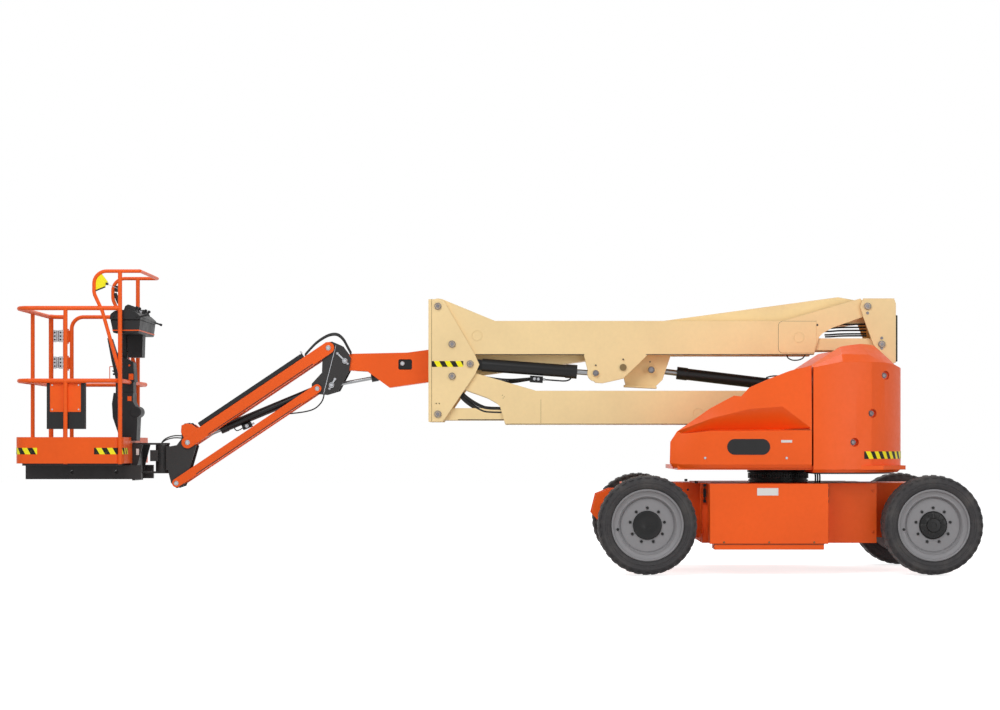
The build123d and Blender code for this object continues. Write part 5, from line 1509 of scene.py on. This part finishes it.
class BOOMLIFT_OT_platform(bpy.types.Operator):
    """Stripes, papers box, hinge leaves, guard plate and wire of the platform"""
    bl_idname = "boomlift.platform"
    bl_label = "Platform fittings"

    def execute(self, context):
        sizes = context.scene.boomlift_sizes
        self.stripes(sizes)
        self.papers_box()
        self.hinge_leaves()
        self.guard()
        self.deck()
        return {"FINISHED"}

    def stripes(self, sizes):
        """Warning stripes round the two near corners of the toe board."""
        front, back = low("platform_rails").x, low("platform_rails").x + PLATFORM_LENGTH
        face = low("platform_rails").y
        form = Form()
        for x, way, inward, run in ((front, 1, 0.230, 0.165), (back, -1, 0.230, 0.198)):
            path = rounded([(x, face + inward), (x, face), (x + way * run, face)], 0.085)
            if way < 0:
                path.reverse()
            band(form, path, TOE_BOARD, TOE_BOARD + sizes.stripe_height, STRIPE_LIFT, 1)
        form.piece("toe_board_stripes", "platform", "hazard")
        plate = Form()
        side = -0.170
        plate.box(spot(-4.716, side, 0.846), spot(-4.694, side - 0.0012, 0.892))
        plate.piece("small_blank_plate", "platform", "plate")

    def papers_box(self):
        """Painted front of the papers box with its rivets."""
        start, end = low("manual_box"), high("manual_box")
        face = start.y + 0.0007
        cover = Form()
        top = end.z - 0.023
        cover.box((start.x + 0.024, face, top - 0.210), (end.x - 0.027, face - 0.0025, top))
        cover.piece("papers_box_front", "platform", "orange", 0.0008)
        rivets = Form()
        for x in (start.x + 0.040, end.x - 0.043):
            for z in (top - 0.192, top - 0.018):
                profile = [(0.006, 0.0), (0.0055, 0.002), (0.0, 0.0035)]
                rivets.turned(profile, (x, face - 0.0025, z), (0, -1, 0), 14)
        rivets.piece("papers_box_rivets", "platform", "zinc")

    def hinge_leaves(self):
        """Bright leaves between the gate's post and the corner, screwed on."""
        leaves, screws = Form(), Form()
        y = pivot("gate_open").y - 0.016
        post = pivot("gate_open").x - 0.026
        for z in (1.502, 1.704):
            leaves.box((post - 0.112, y - 0.004, z), (post - 0.062, y, z + 0.094))
            leaves.box((post - 0.042, y - 0.004, z), (post + 0.006, y, z + 0.094))
            knuckle = Vector((post - 0.052, y - 0.004, z))
            leaves.round_bar(knuckle + Vector((0, 0, 0.004)), knuckle + Vector((0, 0, 0.090)), 0.0095, 16)
            leaves.box((post - 0.064, y - 0.003, z + 0.010), (post - 0.040, y - 0.001, z + 0.084))
            for x in (post - 0.100, post - 0.074, post - 0.030, post - 0.006):
                for lift in (0.020, 0.047, 0.074):
                    screws.bolt((x, y - 0.004, z + lift), (0, -1, 0), 0.0048)
        leaves.piece("gate_hinge_leaves", "platform", "zinc", 0.001)
        screws.piece("gate_hinge_screws", "platform", "dark")
        corner = Form().round_bar((low("platform_rails").x + 0.024, y - 0.002, 0.960),
                                  (low("platform_rails").x + 0.024, y - 0.002, 1.915), 0.018, 24)
        corner.piece("gate_corner_post", "platform", "orange")

    def guard(self):
        """Yellow plate in the near hoop, the trip wire and its switch on the other hoop."""
        near = low("platform_rails").y + 0.016
        outline = [(-4.896, 2.148), (-4.848, 2.086), (-4.866, 2.051),
                   (-4.935, 2.021), (-4.941, 2.060), (-4.930, 2.105)]
        plate = Form().prism(from_slew(outline), near - 0.001, near + 0.001)
        plate.piece("guard_plate", "platform", "yellow", 0.0004)
        trim = Form()
        trim.round_bar(spot(-4.935, near, 2.021), spot(-4.866, near, 2.049), 0.005, 12)
        trim.box(spot(-4.862, near - 0.010, 2.062), spot(-4.846, near + 0.014, 2.078))
        trim.piece("guard_plate_edge", "platform", "plastic")
        far_hoop = 0.160
        wire = Form()
        wire.round_bar(spot(-4.853, near + 0.010, 2.069), spot(-4.905, far_hoop - 0.016, 2.084), 0.0016, 8)
        wire.piece("trip_wire", "platform", "zinc")
        switch = Form()
        switch.box(spot(-4.930, far_hoop - 0.020, 2.062), spot(-4.896, far_hoop + 0.016, 2.107))
        switch.round_bar(spot(-4.932, far_hoop, 2.052), spot(-4.902, far_hoop, 1.978), 0.014, 16)
        switch.piece("trip_switch", "platform", "plastic", 0.002)

    def deck(self):
        """Raised pads pressed in the floor."""
        front, half = low("platform_rails").x, -low("platform_rails").y
        pads = Form()
        columns = int((PLATFORM_LENGTH - 0.16) / DECK_PITCH)
        rows = int((2 * half - 0.16) / DECK_PITCH)
        for column in range(columns):
            for row in range(rows):
                x = front + DECK_EDGE + column * DECK_PITCH
                y = -half + DECK_EDGE + row * DECK_PITCH
                long, wide = (0.012, 0.0035) if (column + row) % 2 else (0.0035, 0.012)
                points = []
                for share, sunk in ((1.0, 0.0022), (0.6, 0.0004)):
                    for a, b in ((-1, -1), (1, -1), (1, 1), (-1, 1)):
                        points.append((x + a * long * share, y + b * wide * share, DECK_LEVEL - sunk))
                pads.faces(points, [(4, 5, 6, 7), (0, 1, 5, 4), (1, 2, 6, 5),
                                    (2, 3, 7, 6), (3, 0, 4, 7), (3, 2, 1, 0)])
        pads.piece("deck_tread", "platform", "dark")


PANEL_SHIFT = 0.042     # support panels ahead of the outlines given for them


class BOOMLIFT_OT_console(bpy.types.Operator):
    """Console of the platform with its lid, levers, guards and support panels"""
    bl_idname = "boomlift.console"
    bl_label = "Console"

    def execute(self, context):
        near, far = low("console").y, high("console").y
        self.case(near, far)
        self.support()
        self.controls(near)
        return {"FINISHED"}

    def case(self, near, far):
        """Faceted case that narrows downwards, with a sloping lid and an orange band near its foot."""
        shell = Form()
        lower = [(-4.818, 1.722), (-4.636, 1.722), (-4.624, 1.816), (-4.838, 1.816)]
        shell.prism(from_slew(lower), near + 0.010, far - 0.010)
        lid = [(-4.842, 1.816), (-4.620, 1.816), (-4.618, 1.838),
               (-4.655, 1.872), (-4.700, 1.892), (-4.806, 1.880),
               (-4.836, 1.856)]
        shell.prism(from_slew(lid), near, far)
        shell.piece("console_case", "platform", "plastic", 0.006, ("console",))
        trim = Form()
        strip = [(-4.822, 1.736), (-4.632, 1.736), (-4.631, 1.744), (-4.823, 1.744)]
        trim.prism(from_slew(strip), near + 0.006, far - 0.006)
        trim.piece("console_trim", "platform", "orange", 0.001)

    def support(self):
        """Neck, two panels and the column that carry the console, with a wire frame and a lever."""
        panels = Form()
        column = [(-4.830, 0.945), (-4.785, 0.945), (-4.785, 1.725), (-4.830, 1.725)]
        panels.prism(from_slew(column), -0.160, -0.080)
        neck = [(-4.770, 1.560), (-4.668, 1.560), (-4.663, 1.725), (-4.778, 1.725)]
        panels.prism(from_slew(neck), -0.190, -0.070)
        upper = [(-4.880, 1.700), (-4.862, 1.700), (-4.830, 1.600),
                 (-4.690, 1.520), (-4.680, 1.380), (-4.815, 1.380),
                 (-4.850, 1.540)]
        panels.prism(from_slew(upper, -PANEL_SHIFT), -0.200, -0.060)
        lower = [(-4.832, 1.300), (-4.690, 1.300), (-4.690, 1.235),
                 (-4.655, 1.170), (-4.665, 0.950), (-4.780, 0.950),
                 (-4.838, 1.120), (-4.844, 1.220)]
        panels.prism(from_slew(lower, -PANEL_SHIFT), -0.210, -0.050)
        panels.turned([(0.0, -0.212), (0.038, -0.212), (0.042, -0.208),
                       (0.042, -0.052), (0.038, -0.048), (0.0, -0.048)],
                      spot(-4.714, 0.0, 1.160), (0, 1, 0), 32)
        panels.box(spot(-4.862, -0.190, 1.296), spot(-4.732, -0.070, 1.384))
        panels.piece("console_support", "platform", "plastic", 0.004)
        tabs = Form()
        tabs.box(spot(-4.772, -0.2125, 1.240), spot(-4.742, -0.202, 1.275))
        tabs.box(spot(-4.765, -0.2025, 1.395), spot(-4.730, -0.192, 1.440))
        tabs.dot(spot(-4.760, -0.198, 1.500), (0, -1, 0), 0.008, 0.004)
        tabs.piece("support_tabs", "platform", "orange", 0.001)
        frame_bar = Form()
        path = [(-4.846, 1.492), (-4.905, 1.492), (-4.905, 1.385), (-4.850, 1.385)]
        for (x0, z0), (x1, z1) in zip(path, path[1:]):
            frame_bar.round_bar(spot(x0, -0.190, z0), spot(x1, -0.190, z1), 0.003, 10)
        frame_bar.piece("support_wire_frame", "platform", "orange")
        lever = Form().round_bar(spot(-4.830, -0.185, 1.437), spot(-4.882, -0.185, 1.437), 0.007, 12)
        lever.round_bar(spot(-4.846, -0.185, 1.440), spot(-4.886, -0.185, 1.462), 0.005, 12)
        lever.piece("support_lever", "platform", "plastic")

    def controls(self, near):
        """Levers, guards and switches on the lid."""
        lid, guards, bright = Form(), Form(), Form()
        ridge, lip = (-4.700, 1.892), (-4.640, 1.858)
        slope = Vector((lip[0] - ridge[0], 0.0, lip[1] - ridge[1]))
        up = Vector((-slope.z, 0.0, slope.x)).normalized()
        for y in (-0.470, -0.360, -0.100, 0.040):
            foot = spot(ridge[0], y, ridge[1]) + slope * 0.45
            lid.turned([(0.024, -0.004), (0.022, 0.008), (0.013, 0.014), (0.007, 0.018), (0.0055, 0.026)],
                       foot, up, 24)
            lid.turned([(0.0055, 0.024), (0.011, 0.028), (0.012, 0.036), (0.008, 0.042), (0.0, 0.044)],
                       foot, up, 24)
        for y in (-0.290, -0.250, -0.210, -0.170):
            foot = spot(ridge[0], y, ridge[1]) + slope * 0.30
            bright.turned([(0.010, -0.002), (0.010, 0.003), (0.0035, 0.005), (0.003, 0.018), (0.0, 0.020)],
                          foot, up, 16)
        for y in (-0.520, -0.410, -0.315, -0.145, 0.095):
            profile = [(-4.742, 1.884), (-4.732, 1.914), (-4.712, 1.926),
                       (-4.690, 1.920), (-4.668, 1.896), (-4.652, 1.862)]
            guards.prism(from_slew(profile), y - 0.006, y + 0.006)
        for y in (-0.526, 0.128):
            lid.turned([(0.0065, 0.0), (0.0065, 0.050), (0.009, 0.054), (0.009, 0.068), (0.0, 0.070)],
                       spot(-4.640, y, 1.834), (0.86, 0.0, -0.30 if y > 0 else 0.20), 16)
        lid.piece("console_levers", "platform", "plastic")
        guards.piece("lever_guards", "platform", "plastic", 0.002)
        bright.piece("console_switches", "platform", "zinc")
        screws = Form()
        for x in (-4.812, -4.648):
            screws.bolt(spot(x, near, 1.838), (0, -1, 0), 0.0055)
        screws.piece("console_screws", "platform", "black", slot="dark_paint")


# ----------------------------------------------------------------------- hoses
def hose(name, points, radius, body, second=None, across=None):
    """Free hose through its control points; given a second body, it stays where it is made and rides on
    neither body.

    across is not used.
    """
    curve = spline_curve(name, points, 12)
    model = add_object(name, curve)
    path = [tuple(vertex.co) for vertex in frozen(model).vertices]
    thicken(curve, radius)
    mesh = frozen(model)
    bpy.data.objects.remove(model)
    thing = add_object(name, mesh)
    mesh.materials.clear()
    mesh.materials.append(finish("hose"))
    if second:
        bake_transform(thing)
    else:
        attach(thing, body)


class BOOMLIFT_OT_hoses(bpy.types.Operator):
    """Hydraulic hoses that loop over the tower and jib joints"""
    bl_idname = "boomlift.hoses"
    bl_label = "Hoses"

    def execute(self, context):
        sizes = context.scene.boomlift_sizes
        self.bracket_loops()
        self.jib_hoses()
        self.tower_loops(sizes)
        self.clipped_pipes(sizes)
        return {"FINISHED"}

    def bracket_loops(self):
        """Loops over the levelling bracket, from the jib to the fly boom."""
        route = ((-3.490, 1.575), (-3.430, 1.645), (-3.374, 1.690),
                 (-3.310, 1.725), (-3.250, 1.730), (-3.205, 1.690),
                 (-3.180, 1.640), (-3.150, 1.585))
        for number, y in enumerate((-0.082, -0.069, -0.056)):
            lift = 0.007 * number
            points = [spot(x, y, z + lift) for x, z in route]
            hose(f"bracket_hose_{number}", points, 0.0055, "jib_bracket", "jib_top_link",
                 (spot(-3.290, y, 1.72), spot(-3.470, y, 1.60)))

    def jib_hoses(self):
        """Hose under the jib's root, and the pair that feeds the rotator."""
        route = ((-3.349, 1.300), (-3.352, 1.268), (-3.371, 1.228),
                 (-3.410, 1.190), (-3.452, 1.172), (-3.520, 1.158),
                 (-3.600, 1.150))
        hose("jib_low_hose", [spot(x, -0.070, z) for x, z in route], 0.005, "jib_bracket", "jib_low_link",
             (spot(-3.352, -0.070, 1.290), spot(-3.560, -0.070, 1.152)))
        for number, rise in enumerate((0.0, 0.016)):
            route = ((-4.385, 0.968), (-4.440, 0.975), (-4.500, 0.966),
                     (-4.548, 0.940), (-4.566, 0.905), (-4.566, 0.876))
            points = [spot(x + rise * 0.6, -0.040, z + rise) for x, z in route]
            hose(f"rotator_hose_{number}", points, 0.0045, "jib_end")

    def tower_loops(self, sizes):
        """Bundle from the front upright along the lower boom."""
        route = ((-2.350, 1.322), (-2.330, 1.292), (-2.274, 1.246),
                 (-2.195, 1.200), (-2.142, 1.184), (-2.030, 1.184))
        for number, (y, drop) in enumerate(((-0.152, 0.0), (-0.128, -0.004),
                                            (-0.150, 0.026), (-0.126, 0.034))):
            points = [spot(x, y, z - drop) for x, z in route]
            hose(f"lower_hose_{number}", points, sizes.hose_radius, "upright_front", "lower_boom",
                 (spot(-2.35, y, 1.32), spot(-2.04, y, 1.18)))

    def clipped_pipes(self, sizes):
        """Short pipes that stay clipped to one piece."""
        for number, (y, drop) in enumerate(((-0.150, 0.0), (-0.130, 0.014), (-0.112, 0.028))):
            route = ((-2.235, 1.428), (-2.160, 1.418), (-2.060, 1.402),
                     (-1.960, 1.398), (-1.880, 1.405), (-1.815, 1.410))
            points = [spot(x, y, z - drop * (1.0 - abs(x + 2.03) * 3.0)) for x, z in route]
            tube(f"tower_pipe_{number}", points, sizes.thin_hose, "tower_barrel", "hose")
        for number, (z, y) in enumerate(((1.722, -0.096), (1.738, -0.070), (1.762, -0.086),
                                         (1.786, -0.060), (1.806, -0.096))):
            points = [spot(x, y, z + sag) for x, sag in ((0.335, -0.008),
                                                         (0.380, -0.008), (0.450, 0.0), (0.640, 0.0))]
            tube(f"link_pipe_{number}", points, 0.006, "mid_links", "hose")
        loop = [spot(x, -0.120, z) for x, z in ((0.048, 1.590),
                                                (0.052, 1.562), (0.085, 1.542), (0.118, 1.540),
                                                (0.152, 1.545), (0.182, 1.566), (0.187, 1.590))]
        tube("mid_boom_loop", loop, 0.0045, "mid_boom", "hose")


# ----------------------------------------------------------------------- panel
OPERATORS = [
    BOOMLIFT_OT_studio, BOOMLIFT_OT_finishes, BOOMLIFT_OT_wheels, BOOMLIFT_OT_chassis, BOOMLIFT_OT_covers,
    BOOMLIFT_OT_tower, BOOMLIFT_OT_cylinders, BOOMLIFT_OT_jib, BOOMLIFT_OT_platform, BOOMLIFT_OT_console,
    BOOMLIFT_OT_hoses]
SETTINGS = {
    "boomlift_paint": BoomLiftPaint,
    "boomlift_sizes": BoomLiftSizes,
    "boomlift_studio": BoomLiftStudio,
}


class BOOMLIFT_PT_panel(bpy.types.Panel):
    """Lists the settings and every step"""
    bl_label = "Boom Lift"
    bl_idname = "BOOMLIFT_PT_panel"
    bl_space_type = "VIEW_3D"
    bl_region_type = "UI"
    bl_category = "Boom Lift"

    def draw(self, context):
        for group in SETTINGS:
            settings = getattr(context.scene, group)
            box = self.layout.box()
            for name in settings.__annotations__:
                box.prop(settings, name)
        for step in OPERATORS:
            self.layout.operator(step.bl_idname)


def register():
    """Register the settings, steps and panel."""
    for group in SETTINGS.values():
        bpy.utils.register_class(group)
    for step in OPERATORS:
        bpy.utils.register_class(step)
    bpy.utils.register_class(BOOMLIFT_PT_panel)
    for name, group in SETTINGS.items():
        setattr(bpy.types.Scene, name, bpy.props.PointerProperty(type=group))


def unregister():
    """Undo register."""
    for name in SETTINGS:
        delattr(bpy.types.Scene, name)
    bpy.utils.unregister_class(BOOMLIFT_PT_panel)
    for step in reversed(OPERATORS):
        bpy.utils.unregister_class(step)
    for group in reversed(SETTINGS.values()):
        bpy.utils.unregister_class(group)


def main():
    """Dress the machine step by step and keep its sizes."""
    register()
    for step in OPERATORS:
        call = getattr(bpy.ops.boomlift, step.bl_idname.split(".")[1])
        call()


if __name__ == "__main__":
    main()
